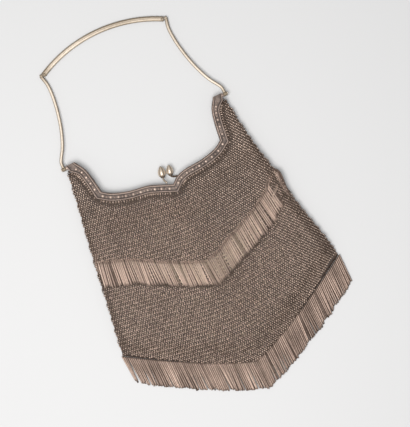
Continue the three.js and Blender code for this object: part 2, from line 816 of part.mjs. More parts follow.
buildFrame();
buildHingePins();
buildClasp();
buildArm(-1, 'left');
buildArm(1, 'right');
buildArc();
buildPouch();
buildMiddleFringe();
buildBottomFringe();

// The origin is under the middle of the whole purse, on the table
const box = new THREE.Box3().setFromObject(purse);
const middle = box.getCenter(new THREE.Vector3());
purse.position.set(-middle.x, -middle.y, -box.min.z);
purse.updateMatrixWorld(true);

export default purse;
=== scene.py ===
import math

import bmesh
import bpy
import numpy as np
from mathutils import Matrix, Vector


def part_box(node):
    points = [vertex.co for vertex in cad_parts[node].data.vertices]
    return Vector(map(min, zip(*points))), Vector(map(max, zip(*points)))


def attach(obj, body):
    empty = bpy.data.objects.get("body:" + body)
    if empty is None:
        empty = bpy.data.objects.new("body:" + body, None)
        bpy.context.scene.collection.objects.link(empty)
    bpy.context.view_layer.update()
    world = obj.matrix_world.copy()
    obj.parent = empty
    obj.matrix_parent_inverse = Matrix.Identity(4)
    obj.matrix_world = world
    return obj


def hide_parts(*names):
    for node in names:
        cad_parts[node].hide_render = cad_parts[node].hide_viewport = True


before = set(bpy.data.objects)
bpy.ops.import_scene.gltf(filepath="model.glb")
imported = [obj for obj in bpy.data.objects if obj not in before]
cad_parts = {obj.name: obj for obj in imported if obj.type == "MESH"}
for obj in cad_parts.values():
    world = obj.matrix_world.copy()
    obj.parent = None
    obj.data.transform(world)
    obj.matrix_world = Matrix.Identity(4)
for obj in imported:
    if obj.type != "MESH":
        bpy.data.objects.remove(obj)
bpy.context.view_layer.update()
print("purse: frame loaded")

# All lengths below are in millimetres from the middle of the hinge line; place() turns them to metres
leftPin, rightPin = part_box("hinge_pin_left"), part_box("hinge_pin_right")
hingeMiddle = Vector((
    (leftPin[0].x + rightPin[1].x) * 500,
    (leftPin[0].y + leftPin[1].y) * 500,
    0,
))


def place(points):
    return (np.asarray(points, float) + np.array(hingeMiddle)) / 1000


def column(rows, name):
    return np.array([row[name] for row in rows], float)


def smoothValue(rows, key, name, at):
    xs, ys = column(rows, key), column(rows, name)
    slopes = np.gradient(ys, xs)
    at = np.clip(at, xs[0], xs[-1])
    i = np.clip(np.searchsorted(xs, at) - 1, 0, len(xs) - 2)
    width = xs[i + 1] - xs[i]
    t = (at - xs[i]) / width
    start = (2 * t**3 - 3 * t**2 + 1) * ys[i] + (t**3 - 2 * t**2 + t) * width * slopes[i]
    return start + (3 * t**2 - 2 * t**3) * ys[i + 1] + (t**3 - t**2) * width * slopes[i + 1]


def smoothPath(points, count):  # an even flowing line through a few points
    points = np.asarray(points, float)
    steps = np.sqrt(np.linalg.norm(np.diff(points, axis=0), axis=1))
    knots = np.concatenate([[0], np.cumsum(steps)])
    rows = [{"at": k, **{str(n): v for n, v in enumerate(p)}} for k, p in zip(knots, points)]
    at = np.linspace(0, knots[-1], count)
    return np.stack([smoothValue(rows, "at", str(n), at) for n in range(points.shape[1])], axis=1)


def smoothStep(value, low, high):
    t = np.clip((value - low) / (high - low), 0, 1)
    return t * t * (3 - 2 * t)


def unit(vectors):
    return vectors / np.maximum(np.linalg.norm(vectors, axis=-1, keepdims=True), 1e-9)


def showPiece(name, mesh, material, body, smooth=True):
    mesh.materials.clear()
    mesh.materials.append(material)
    mesh.polygons.foreach_set("use_smooth", [smooth] * len(mesh.polygons))
    piece = bpy.data.objects.new(name, mesh)
    bpy.context.scene.collection.objects.link(piece)
    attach(piece, body)
    return piece


def meshFromBmesh(name, bm, merge=True):
    if merge:
        bmesh.ops.remove_doubles(bm, verts=bm.verts, dist=1e-6)
        bmesh.ops.recalc_face_normals(bm, faces=bm.faces)
    mesh = bpy.data.meshes.new(name)
    bm.to_mesh(mesh)
    bm.free()
    return mesh


def templateOf(bm):  # corner points and faces of a small shape that is repeated many times
    bm.verts.ensure_lookup_table()
    points = np.array([v.co[:] for v in bm.verts], float)
    faces = [[v.index for v in f.verts] for f in bm.faces]
    bm.free()
    return points, faces


def repeatedMesh(name, faces, points, values):
    # points is copies by corners by 3; values hold one number for each copy or for each corner
    copies, corners = points.shape[:2]
    sizes = np.array([len(f) for f in faces])
    flat = np.concatenate([np.array(f) for f in faces])
    loops = (flat[None, :] + (np.arange(copies) * corners)[:, None]).ravel()
    totals = np.tile(sizes, copies)
    mesh = bpy.data.meshes.new(name)
    mesh.vertices.add(copies * corners)
    mesh.vertices.foreach_set("co", place(points.reshape(-1, 3)).astype(np.float32).ravel())
    mesh.loops.add(len(loops))
    mesh.loops.foreach_set("vertex_index", loops.astype(np.int32))
    mesh.polygons.add(len(totals))
    starts = np.concatenate([[0], np.cumsum(totals)[:-1]])
    mesh.polygons.foreach_set("loop_start", starts.astype(np.int32))
    mesh.polygons.foreach_set("loop_total", totals.astype(np.int32))
    for word, numbers in values.items():
        layer = mesh.attributes.new(word, "FLOAT", "POINT")
        numbers = np.asarray(numbers, float)
        if numbers.ndim == 1:
            numbers = np.repeat(numbers[:, None], corners, axis=1)
        layer.data.foreach_set("value", numbers.astype(np.float32).ravel())
    mesh.update(calc_edges=True)
    mesh.validate()
    return mesh


# finishes
silver = {
    "meshBright": (0.95, 0.73, 0.595), "meshDark": (0.14, 0.096, 0.072),
    # near-black painted shade for the wall seen through the gaps between the rings
    "shadeLiningBright": (0.05, 0.03, 0.02), "shadeLiningDark": (0.02, 0.012, 0.008),
    "fringeBright": (0.52, 0.39, 0.32), "fringeDark": (0.09, 0.06, 0.046),
    "frameBright": (0.50, 0.385, 0.325), "frameDark": (0.04, 0.03, 0.026),
    "beadBright": (0.42, 0.325, 0.27), "beadDark": (0.12, 0.085, 0.07),
    "handleBright": (0.60, 0.52, 0.43), "handleDark": (0.20, 0.155, 0.105),
    "claspBright": (0.74, 0.62, 0.49), "claspDark": (0.12, 0.085, 0.06),
}


# mixes a bright and a dark colour by noise wear plus a tone; the tone holds tarnish and also painted shade
# and highlight
def tarnishAndShadeMixGroup():
    group = bpy.data.node_groups.new("tarnishAndShadeMix", "ShaderNodeTree")
    face = group.interface
    for word, kind in [
        ("Bright", "NodeSocketColor"), ("Dark", "NodeSocketColor"), ("Fine", "NodeSocketFloat"),
        ("Patches", "NodeSocketFloat"), ("Amount", "NodeSocketFloat"), ("Tone", "NodeSocketFloat"),
        ("Polish", "NodeSocketFloat"),
    ]:
        face.new_socket(word, in_out="INPUT", socket_type=kind)
    for word, kind in [
        ("Color", "NodeSocketColor"), ("Rough", "NodeSocketFloat"), ("Height", "NodeSocketFloat"),
    ]:
        face.new_socket(word, in_out="OUTPUT", socket_type=kind)
    n, link = group.nodes, group.links.new
    inp, out = n.new("NodeGroupInput"), n.new("NodeGroupOutput")
    coords = n.new("ShaderNodeTexCoord")
    fine, patch = n.new("ShaderNodeTexNoise"), n.new("ShaderNodeTexNoise")
    fine.inputs["Detail"].default_value, patch.inputs["Detail"].default_value = 3, 2
    for noise, word in ((fine, "Fine"), (patch, "Patches")):
        link(coords.outputs["Object"], noise.inputs["Vector"])
        link(inp.outputs[word], noise.inputs["Scale"])
    both = n.new("ShaderNodeMath")  # fine wear on top of broad patches
    both.operation = "ADD"
    link(fine.outputs["Fac"], both.inputs[0])
    link(patch.outputs["Fac"], both.inputs[1])
    worn = n.new("ShaderNodeMapRange")
    worn.inputs["From Min"].default_value, worn.inputs["From Max"].default_value = 0.75, 1.25
    link(both.outputs[0], worn.inputs["Value"])
    dull = n.new("ShaderNodeMath")
    dull.operation = "MULTIPLY"
    link(worn.outputs[0], dull.inputs[0])
    link(inp.outputs["Amount"], dull.inputs[1])
    tone = n.new("ShaderNodeMath")
    tone.operation = "ADD"
    tone.use_clamp = True
    link(dull.outputs[0], tone.inputs[0])
    link(inp.outputs["Tone"], tone.inputs[1])
    mix = n.new("ShaderNodeMix")
    mix.data_type = "RGBA"
    link(tone.outputs[0], mix.inputs["Factor"])
    link(inp.outputs["Bright"], mix.inputs["A"])
    link(inp.outputs["Dark"], mix.inputs["B"])
    link(mix.outputs["Result"], out.inputs["Color"])
    rough = n.new("ShaderNodeMapRange")
    rough.inputs["To Max"].default_value = 0.62
    link(inp.outputs["Polish"], rough.inputs["To Min"])
    link(tone.outputs[0], rough.inputs["Value"])
    link(rough.outputs[0], out.inputs["Rough"])
    link(fine.outputs["Fac"], out.inputs["Height"])
    return group


tarnishAndShadeMix = tarnishAndShadeMixGroup()


def metal(name, fine, patches, amount, toneFrom=None, metallic=0.9, polish=0.26, bump=0.0001):
    material = bpy.data.materials.new(name + "Silver")
    material.use_nodes = True
    n, link = material.node_tree.nodes, material.node_tree.links.new
    shader = n["Principled BSDF"]
    shader.inputs["Metallic"].default_value = metallic
    wearAndShade = n.new("ShaderNodeGroup")
    wearAndShade.node_tree = tarnishAndShadeMix
    wearAndShade.inputs["Bright"].default_value = (*silver[name + "Bright"], 1)
    wearAndShade.inputs["Dark"].default_value = (*silver[name + "Dark"], 1)
    wearAndShade.inputs["Fine"].default_value, wearAndShade.inputs["Patches"].default_value = fine, patches
    wearAndShade.inputs["Amount"].default_value, wearAndShade.inputs["Polish"].default_value = amount, polish
    # the tone attribute adds painted shade and highlight as well as tarnish
    if toneFrom:
        read = n.new("ShaderNodeAttribute")
        read.attribute_name = toneFrom
        link(read.outputs["Fac"], wearAndShade.inputs["Tone"])
    link(wearAndShade.outputs["Color"], shader.inputs["Base Color"])
    link(wearAndShade.outputs["Rough"], shader.inputs["Roughness"])
    relief = n.new("ShaderNodeBump")
    relief.inputs["Distance"].default_value = bump
    link(wearAndShade.outputs["Height"], relief.inputs["Height"])
    link(relief.outputs["Normal"], shader.inputs["Normal"])
    return material


meshSilver = metal("mesh", 900, 45, 0.12, "tone", metallic=0.5)
# near-black painted shade behind the rings
shadeLiningSilver = metal("shadeLining", 700, 60, 0.8, metallic=0.1, polish=0.6, bump=0.0004)
fringeSilver = metal("fringe", 700, 60, 0.25, "tone", metallic=0.65, polish=0.4)
frameSilver = metal("frame", 500, 120, 0.25, "tarnishAndShade", metallic=0.6, polish=0.42)
beadSilver = metal("bead", 900, 150, 0.15, "tone", metallic=0.6, polish=0.35, bump=0.00005)
handleSilver = metal("handle", 600, 40, 0.25, "tarnishAndShade", metallic=0.5, polish=0.5, bump=0.00005)
claspSilver = metal("clasp", 800, 200, 0.25, "tarnishAndShade", metallic=0.6, polish=0.36, bump=0.00005)
print("purse: finishes")

# outline of the frame's outer edge
band = {
    "halfSpan": 71.4, "drop": 49.7, "rise": 1.6, "pointShift": 3.0, "width": 6.4, "flare": 2.8,
    "flareLength": 12.0, "depth": 9.8, "wall": 0.8, "beadPitch": 6.2, "largeBead": 1.35,
    "smallBead": 0.9,
    "horn": [(0.89, 0, 0), (0.817, 0.168, 0), (0.784, 0.335, 0.012), (0.751, 0.615, 0.068)],
    "scallop": [(0.751, 0.615, 0.068), (0.658, 0.701, 0.062), (0.467, 0.794, 0.038), (0.234, 0.848, 0.014),
                (0.13, 0.9, 0.006), (0, 1, 0)],
}


def edgeHalf(side):  # the right half sags a little lower than the left one
    def spot(row):
        across, down, sag = row
        middle = 1 - min(1, across / band["scallop"][4][0])
        down += sag * (side > 0)
        y = band["rise"] - down * (band["drop"] + band["rise"])
        return (side * across * band["halfSpan"], y, middle)
    horn = smoothPath([spot(r) for r in band["horn"]], 22)
    scallop = smoothPath([spot(r) for r in band["scallop"]], 40)
    return np.concatenate([horn, scallop[1:]])


allEdge = np.concatenate([edgeHalf(-1)[:-1], edgeHalf(1)[::-1]])
edgeLine = np.stack([allEdge[:, 0] + band["pointShift"] * allEdge[:, 2], allEdge[:, 1]], axis=1)
edgeAlong = np.concatenate([[0], np.cumsum(np.linalg.norm(np.diff(edgeLine, axis=0), axis=1))])
edgeSteps = unit(np.diff(edgeLine, axis=0))
edgeNormals = np.stack([edgeSteps[:, 1], -edgeSteps[:, 0]], axis=1)  # towards the mesh
edgeInward = np.concatenate([edgeNormals[:1], edgeNormals[1:] + edgeNormals[:-1], edgeNormals[-1:]])
edgeDot = np.sum(edgeNormals[1:] * edgeNormals[:-1], axis=1)
edgeInward[1:-1] /= np.maximum(0.7, 1 + edgeDot)[:, None]
tipDistance = np.minimum(edgeAlong, edgeAlong[-1] - edgeAlong)
edgeWidth = band["width"] + band["flare"] * np.maximum(0, 1 - tipDistance / band["flareLength"]) ** 2


def bandLine(share, distance):  # the band's outer edge is share 0 and its inner edge share 1
    line = edgeLine + edgeInward * (edgeWidth * share + distance)[:, None]
    line[[0, -1], 1] = edgeLine[[0, -1], 1]
    return line


def distanceToFrame(x, y):
    best = np.full(np.shape(x), 1e9)
    thin = edgeLine[::2]
    for a, b in zip(thin[:-1], thin[1:]):
        step = b - a
        t = np.clip(((x - a[0]) * step[0] + (y - a[1]) * step[1]) / (step @ step), 0, 1)
        best = np.minimum(best, np.hypot(x - a[0] - t * step[0], y - a[1] - t * step[1]))
    return best


def outsideLoop(x, y):  # on the mesh's side of the frame's outer edge
    half = len(edgeLine) // 2
    outside = np.zeros(np.shape(x), bool)
    for side, line in ((-1, edgeLine[:half + 1]), (1, edgeLine[half:][::-1])):
        horn = line[:22]
        hornX = np.interp(-y, -horn[:, 1], side * horn[:, 0])
        order = np.argsort(line[21:, 0])
        scallopY = np.interp(x, line[21:, 0][order], line[21:, 1][order])
        byHorn = (y > horn[-1, 1]) & (side * x > hornX) & (y < -3.2)
        byScallop = (y < scallopY) & (side * x <= side * horn[-1, 0])
        byBody = (y <= horn[-1, 1]) & (side * x > side * horn[-1, 0])
        mine = side * (x - band["pointShift"]) >= 0
        outside |= mine & (byHorn | byScallop | byBody)
    return outside


# skin of the pouch
pouch = {
    "topWidth": 145.6, "width": 200.5, "length": 162.0, "pointDrop": 51.0, "pointCurve": 1.22, "lean": 3.3,
    "depth": 10.4, "underLift": 1.45, "rightSwell": 1.5, "seamLow": 1.75, "seamHigh": 8.05, "seamDepth": 3.4,
    "roundness": 9,
    "rows": [
        {"down": 0, "widening": 0, "lean": 0, "thick": 0.94},
        {"down": 0.25, "widening": 0.19, "lean": -0.12, "thick": 1},
        {"down": 0.5, "widening": 0.44, "lean": -0.04, "thick": 0.92},
        {"down": 0.75, "widening": 0.71, "lean": 0.5, "thick": 0.78},
        {"down": 0.9, "widening": 0.9, "lean": 0.9, "thick": 0.62},
        {"down": 1, "widening": 1, "lean": 1, "thick": 0.4},
    ],
    "folds": [
        ((0.9, 0.52), (0.93, 0.86), 0.05, 0.8), ((-0.64, 0.3), (-0.8, 0.5), 0.12, 0.7),
        ((0.62, 0.32), (0.84, 0.46), 0.12, 0.7), ((0.03, 0.44), (0.02, 0.68), 0.13, 0.6),
        ((-0.34, 0.4), (-0.4, 0.56), 0.16, -0.8), ((0.36, 0.4), (0.42, 0.56), 0.16, -0.8),
        ((-0.45, 0.86), (0.1, 1.12), 0.12, 0.5),
    ],
    "ripples": [(31, 12, 0.3, 0.22), (17, 41, 1.9, 0.16), (24, 55, 4.0, 0.14), (11, 19, 2.2, 0.08)],
}


def bottomLine(across):
    return -pouch["length"] - pouch["pointDrop"] * (1 - np.abs(across) ** pouch["pointCurve"])


def halfWidth(down):
    widening = smoothValue(pouch["rows"], "down", "widening", down)
    return (pouch["topWidth"] + (pouch["width"] - pouch["topWidth"]) * widening) / 2


def middleX(down):
    return pouch["lean"] * smoothValue(pouch["rows"], "down", "lean", down)


def foldHeight(across, down):
    height = np.zeros(np.shape(across))
    for start, end, reach, rise in pouch["folds"]:
        step = np.subtract(end, start)
        t = np.clip(((across - start[0]) * step[0] + (down - start[1]) * step[1]) / (step @ step), 0, 1)
        away = np.hypot(across - start[0] - t * step[0], down - start[1] - t * step[1]) / reach
        height += rise * np.exp(-away * away)
    for sideways, downwards, phase, rise in pouch["ripples"]:
        wave = np.sin(across * 100 / sideways * 2 + phase) * np.sin(down * 200 / downwards * 2 + phase * 1.7)
        height += rise * wave
    return height


def skin(across, y, lift, face):
    across, y = np.broadcast_arrays(np.asarray(across, float), np.asarray(y, float))
    down = np.clip(y / bottomLine(across), 0, 1)
    x = middleX(down) + across * halfWidth(down)
    x = x + pouch["rightSwell"] * smoothStep(across, 0.5, 1) * np.exp(-((down - 0.47) / 0.13) ** 2)
    bandEnd = band["width"] + 5.6
    free = smoothStep(distanceToFrame(x, y), bandEnd, bandEnd + 24)
    seam = smoothStep(down, 0.9, 1)
    low = pouch["seamLow"] + (pouch["underLift"] - pouch["seamLow"]) * free
    low = low * (1 - smoothStep(down, 0.84, 0.97))
    wide = pouch["underLift"] + pouch["depth"] * smoothValue(pouch["rows"], "down", "thick", down)
    wide = wide + foldHeight(across, down) * (face > 0)
    high = pouch["seamHigh"] + (wide - pouch["seamHigh"]) * free
    high = high + (low + pouch["seamDepth"] - high) * seam
    crown = np.sqrt(np.maximum(0, 1 - np.abs(across) ** pouch["roundness"]))
    z = (low + high) / 2 + face * ((high - low) / 2 + lift) * crown
    return np.stack([x + lift * across, y, z], axis=-1)


# places of the fringe
fringe = {
    "pitch": 1.5, "radius": 0.66, "middle": 20.3, "bottom": 25.0, "cuts": 13, "sides": 5, "start": 3.0,
    "tuck": 2.4,
    "leftLine": [
        {"across": 0, "down": 0.75}, {"across": 0.232, "down": 0.695}, {"across": 0.515, "down": 0.615},
        {"across": 0.69, "down": 0.565}, {"across": 0.93, "down": 0.522}, {"across": 1, "down": 0.505},
    ],
    "rightLine": [
        {"across": 0, "down": 0.75}, {"across": 0.113, "down": 0.732}, {"across": 0.227, "down": 0.702},
        {"across": 0.458, "down": 0.652}, {"across": 0.69, "down": 0.59}, {"across": 0.81, "down": 0.548},
        {"across": 0.935, "down": 0.485}, {"across": 1, "down": 0.47},
    ],
    "middleSlits": [
        (-62, 0.9, 1.2), (-46, 0.5, 1), (-26, 1.5, 1.6), (-5, 1.2, 1.2), (10, 0.8, 1), (15, 0.6, 1),
        (37, 1.0, 1.2), (47, 0.6, 1), (54, 0.7, 1), (61, 0.9, 1.2), (70, 0.7, 1),
    ],
    "bottomSlits": [
        (-93.6, 2.6, 1.0), (-85, 1.5, 1.2), (-78.5, 1.1, 1.2), (-72, 0.8, 1), (-58, 0.6, 1), (-27, 1.4, 2),
        (-5, 0.6, 1), (11.5, 1.9, 1.5), (33, 0.8, 1), (51, 1.0, 1.2), (71, 0.7, 1), (93, 1.0, 1.5),
    ],
    "rightEnd": 0.868,
}


def hangY(across):
    left = smoothValue(fringe["leftLine"], "across", "down", -across)
    right = smoothValue(fringe["rightLine"], "across", "down", across)
    return -pouch["length"] * np.where(np.asarray(across) < 0, left, right)


# ring mesh
rings = {
    "pitch": 2.0, "rowPitch": 1.6, "radius": 1.05, "wire": 0.6, "lean": 56, "jitter": 7, "sides": 6,
    "underBand": 4.2, "rowShift": 0.19, "leftSlope": 0.17, "rightSlope": 0.15, "sideSlope": 0.36,
    "soft": 16, "lift": -0.35, "stray": 0.09, "toneSpread": 0.16, "rowLeanShade": 0.17, "endShade": 0.85,
    "lowShade": 0.75, "bandShade": 0.8, "tipShade": 0.9, "edgeShade": 0.4,
}


def rowRise(x):
    soft = rings["soft"]
    slope = np.where(x < 0, rings["leftSlope"], rings["rightSlope"])
    rise = slope * (np.sqrt(x * x + soft * soft) - soft)
    return rise + (rings["sideSlope"] - rings["rightSlope"]) * np.maximum(0, x - 62) ** 1.15


def linkRing():
    bm = bmesh.new()
    outer = bmesh.ops.create_circle(bm, segments=rings["sides"], radius=rings["radius"])["verts"]
    first = edges = list(bm.edges)
    for v in outer:  # turned so that two corners lie at the ring's sides
        v.co = Matrix.Rotation(math.pi / rings["sides"], 3, "Z") @ v.co
        v.co.z = -rings["wire"] / 4
    for inward, height in ((rings["wire"] / 2, 0.5), (rings["wire"], -0.25)):
        radius = rings["radius"] - inward
        grown = bmesh.ops.extrude_edge_only(bm, edges=edges)["geom"]
        edges = [g for g in grown if isinstance(g, bmesh.types.BMEdge)]
        for v in (g for g in grown if isinstance(g, bmesh.types.BMVert)):
            flat = Vector((v.co.x, v.co.y, 0)).normalized() * radius
            v.co = (flat.x, flat.y, height * rings["wire"])
    bmesh.ops.bridge_loops(bm, edges=first + edges)
    bmesh.ops.recalc_face_normals(bm, faces=bm.faces)
    return templateOf(bm)


def ringRows(face):
    low, high = -216.0, 6.0
    count = int((high - low) / rings["rowPitch"])
    rowAt = high - np.arange(count) * rings["rowPitch"]
    across = np.sin(np.linspace(-1, 1, 900) * math.pi / 2)
    a = np.broadcast_to(across, (count, len(across)))
    y = np.repeat(rowAt[:, None], len(across), axis=1)
    for _ in range(4):
        down = np.clip(y / bottomLine(a), 0, 1)
        y = rowAt[:, None] + rowRise(middleX(down) + a * halfWidth(down))
    grid = skin(a, y, rings["lift"], face)
    return a, grid


def ringPlaces(face, seed):
    rng = np.random.default_rng(seed)
    a, grid = ringRows(face)
    downward = np.gradient(grid, axis=0)
    spots, sides, downs, lean = [], [], [], []
    for j in range(grid.shape[0]):
        line = grid[j]
        along = np.concatenate([[0], np.cumsum(np.linalg.norm(np.diff(line, axis=0), axis=1))])
        along -= np.interp(0, a[j], along)
        first = math.ceil(along[0] / rings["pitch"])
        numbers = np.arange(first, int(along[-1] / rings["pitch"]) + 1)
        at = (numbers + rings["rowShift"] * (j % 2)) * rings["pitch"]
        at = at[(at > along[0] + 0.3) & (at < along[-1] - 0.3)]
        pick = lambda values: np.stack([np.interp(at, along, values[:, n]) for n in range(3)], axis=1)
        tangent = np.gradient(line, along, axis=0)
        spots.append(pick(line))
        sides.append(pick(tangent))
        downs.append(pick(downward[j]))
        lean.append(np.full(len(at), 1.0 if j % 2 else -1.0))
    spots, sides, downs = np.concatenate(spots), unit(np.concatenate(sides)), np.concatenate(downs)
    lean = np.concatenate(lean)
    x, y = spots[:, 0], spots[:, 1]
    down = np.clip(-y / 200, 0, 1)
    across = (x - middleX(down)) / halfWidth(down)
    inside = y > bottomLine(np.clip(across, -1, 1)) + 0.4
    toFrame = distanceToFrame(x, y)
    inside &= outsideLoop(x, y) & (toFrame > rings["underBand"])
    spots, sides, downs, lean = spots[inside], sides[inside], downs[inside], lean[inside]
    normals = unit(np.cross(downs, sides))
    normals *= np.where(normals[:, 2:] * face < 0, -1, 1)
    downs = unit(np.cross(normals, sides))
    tilt = np.radians(lean * rings["lean"] + rng.normal(0, rings["jitter"], len(lean)))[:, None]
    turn = np.radians(rng.normal(0, 7, len(lean)))[:, None]
    flatSides = sides * np.cos(tilt) + normals * np.sin(tilt)
    ringUp = normals * np.cos(tilt) - sides * np.sin(tilt)
    sideAxis = flatSides * np.cos(turn) + downs * np.sin(turn)
    downAxis = downs * np.cos(turn) - flatSides * np.sin(turn)
    spots = spots + sides * rng.normal(0, rings["stray"], len(lean))[:, None]
    spots = spots + downs * rng.normal(0, rings["stray"], len(lean))[:, None]
    # rows leaning one way are painted lighter and rows leaning the other way darker: painted light and shade
    tone = rings["rowLeanShade"] * lean + rng.normal(0, rings["toneSpread"], len(lean))
    tone += rings["bandShade"] * (1 - smoothStep(toFrame[inside] - band["width"], 2.4, 7))
    across = across[inside]
    belowTips = spots[:, 1] - hangY(across) - fringe["start"] + fringe["middle"] + fringe["tuck"]
    if face > 0:
        tone += rings["tipShade"] * np.exp(-((belowTips + 0.6) / 1.3) ** 2)
    tone += rings["edgeShade"] * smoothStep(np.abs(across), 0.955, 0.99)
    return spots, sideAxis, downAxis, ringUp, tone, lean


def ringEnds(template):  # painted shade where rings tuck under their neighbours, partly tarnish there, leaving a painted glint at each ring's middle
    return rings["endShade"] * smoothStep(np.abs(template[:, 1]) / rings["radius"], 0.1, 0.8)


def ringMesh(name, face, seed):
    template, faces = linkRing()
    ends = ringEnds(template)
    across = template[:, 0] / rings["radius"]
    spots, sideAxis, downAxis, ringUp, tone, lean = ringPlaces(face, seed)
    for word, chosen in (("Left", spots[:, 0] < 2), ("Right", spots[:, 0] >= 2)):
        axes = np.stack([sideAxis[chosen], downAxis[chosen], ringUp[chosen]], axis=1)
        points = spots[chosen][:, None, :] + np.einsum("ck,mkd->mcd", template, axes)
        points[:, :, 2] = np.maximum(points[:, :, 2], 0.05)
        low = rings["lowShade"] * (0.5 - 0.5 * lean[chosen][:, None] * across)  # painted shade on each ring's low side under its neighbours, partly tarnish deep down
        tones = np.clip(tone[chosen][:, None] + ends + low, 0, 1)
        mesh = repeatedMesh(name + word, faces, points, {"tone": tones})
        showPiece(name + word, mesh, meshSilver, "purse")
        print("purse:", name + word, chosen.sum(), "rings")


ringMesh("ringMeshFront", 1, 11)
ringMesh("ringMeshBack", -1, 12)

# dark inner wall behind the rings, painted near-black as the shade seen through the gaps between them
shadeLining = {"acrossSteps": 72, "downSteps": 64, "inset": 0.95, "wall": 0.5, "top": 0.03}


def shadeLiningSheet(bm, face):
    columns, rows = shadeLining["acrossSteps"], shadeLining["downSteps"]
    grid = bmesh.ops.create_grid(bm, x_segments=columns, y_segments=rows, size=1)
    across = np.sin(np.array([v.co.x for v in grid["verts"]]) * math.pi / 2)
    level = np.array([0.5 - v.co.y / 2 for v in grid["verts"]])
    mouth = mouthHeight(across)
    y = mouth + (bottomLine(across) + 0.3 - mouth) * level
    for v, spot in zip(grid["verts"], place(skin(across, y, -shadeLining["inset"], face))):
        v.co = spot


def mouthHeight(across):  # the mouth runs inside the frame's band
    x = across * halfWidth(np.full(np.shape(across), shadeLining["top"]))
    line = bandLine(0, 3.6)
    inner = np.interp(x, line[:, 0], line[:, 1])
    return np.where(np.abs(x) < line[:, 0].max(), np.minimum(inner, -5), -5)


bm = bmesh.new()
for face in (1, -1):
    shadeLiningSheet(bm, face)
bmesh.ops.remove_doubles(bm, verts=bm.verts, dist=1e-5)
bmesh.ops.recalc_face_normals(bm, faces=bm.faces)
bmesh.ops.solidify(bm, geom=bm.faces[:], thickness=shadeLining["wall"] / 1000)
shadeLiningMesh = meshFromBmesh("meshShadeLining", bm, False)
shadeLiningPiece = showPiece("meshShadeLining", shadeLiningMesh, shadeLiningSilver, "purse")
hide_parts("mesh_pouch")
print("purse: lining")


# frame halves: a band swept along the edge, with rounded rims and a sunk channel
frameForm = {
    "top": 9.25, "channel": 9.08, "under": 8.4, "seam": 5.05, "outerRim": 0.42, "secondRim": 1.2,
    "innerRim": 0.5, "rimHalf": 0.36, "rimTop": 9.8, "secondTop": 9.62,
}


def rimPoints(centre, half, foot, top):
    angles = np.linspace(math.pi, 0, 5)
    return [(centre + half * math.cos(t), foot + (top - foot) * math.sin(t)) for t in angles]


def frameProfile(width):  # how far in from the outer edge, height, and how dark it is painted there: tarnish in the grooves, painted shade on the walls and underneath, and a painted highlight on the rims
    f = frameForm
    inner = width - f["innerRim"]
    points = [(0, f["seam"], 0.9), (0, f["top"], 0.8)]
    points += [(d, z, 0.6) for d, z in rimPoints(f["outerRim"], f["rimHalf"], f["top"], f["rimTop"])]
    points += [(0.8, f["top"], 1)]
    points += [(d, z, 0) for d, z in rimPoints(f["secondRim"], f["rimHalf"], f["top"], f["secondTop"])]
    points += [(1.7, f["channel"], 1), (2.1, f["channel"], 0.9), (2.5, f["channel"], 0.74)]
    points += [(inner - 1.5, f["channel"], 0.74), (inner - 1.0, f["channel"], 0.9)]
    points += [(inner - 0.6, f["channel"], 1)]
    points += [(d, z, 0.2) for d, z in rimPoints(inner, f["rimHalf"] * 0.9, f["top"], f["secondTop"])]
    points += [(width, f["top"], 1), (width, f["under"], 1), (band["wall"], f["under"], 1)]
    points += [(band["wall"], f["seam"], 1)]
    return points


def sweepRings(bm, stations):  # skins a row of point rings, each extruded from the one before it
    made = [bm.verts.new(p) for p in stations[0]]
    edges = [bm.edges.new(pair) for pair in zip(made, made[1:] + made[:1])]
    bm.faces.new(made)
    for points in stations[1:]:
        grown = bmesh.ops.extrude_edge_only(bm, edges=edges)["geom"]
        edges = [g for g in grown if isinstance(g, bmesh.types.BMEdge)]
        made = [g for g in grown if isinstance(g, bmesh.types.BMVert)]
        for v, p in zip(made, points):
            v.co = p
    bm.faces.new(made)
    return bm


def paintFloat(mesh, word, numbers):
    layer = mesh.attributes.new(word, "FLOAT", "POINT")
    layer.data.foreach_set("value", np.asarray(numbers, np.float32).ravel())


def frameHalf(name, node, mirrored):
    stations, shades = [], []
    for i in range(len(edgeLine)):
        ring, shade = [], []
        for d, z, tarnishAndShade in frameProfile(edgeWidth[i]):
            spot = edgeLine[i] + edgeInward[i] * d
            if i in (0, len(edgeLine) - 1):
                spot = np.array([spot[0], edgeLine[i][1]])
            ring.append((spot[0], spot[1], band["depth"] - z if mirrored else z))
            shade.append(tarnishAndShade)
        stations.append(place(ring))
        shades.append(shade)
    bm = sweepRings(bmesh.new(), stations)
    bmesh.ops.recalc_face_normals(bm, faces=bm.faces)
    mesh = meshFromBmesh(name, bm, False)
    paintFloat(mesh, "tarnishAndShade", np.concatenate(shades))
    piece = showPiece(name, mesh, frameSilver, "purse")
    mesh.set_sharp_from_angle(angle=math.radians(40))
    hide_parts(node)


frameHalf("frameBandFront", "frame_front", False)
frameHalf("frameBandBack", "frame_back", True)


def beadDome():
    bm = bmesh.new()
    bmesh.ops.create_uvsphere(bm, u_segments=10, v_segments=6, radius=1)
    low = [v for v in bm.verts if v.co.z < -0.1]
    bmesh.ops.delete(bm, geom=low, context="VERTS")
    return templateOf(bm)


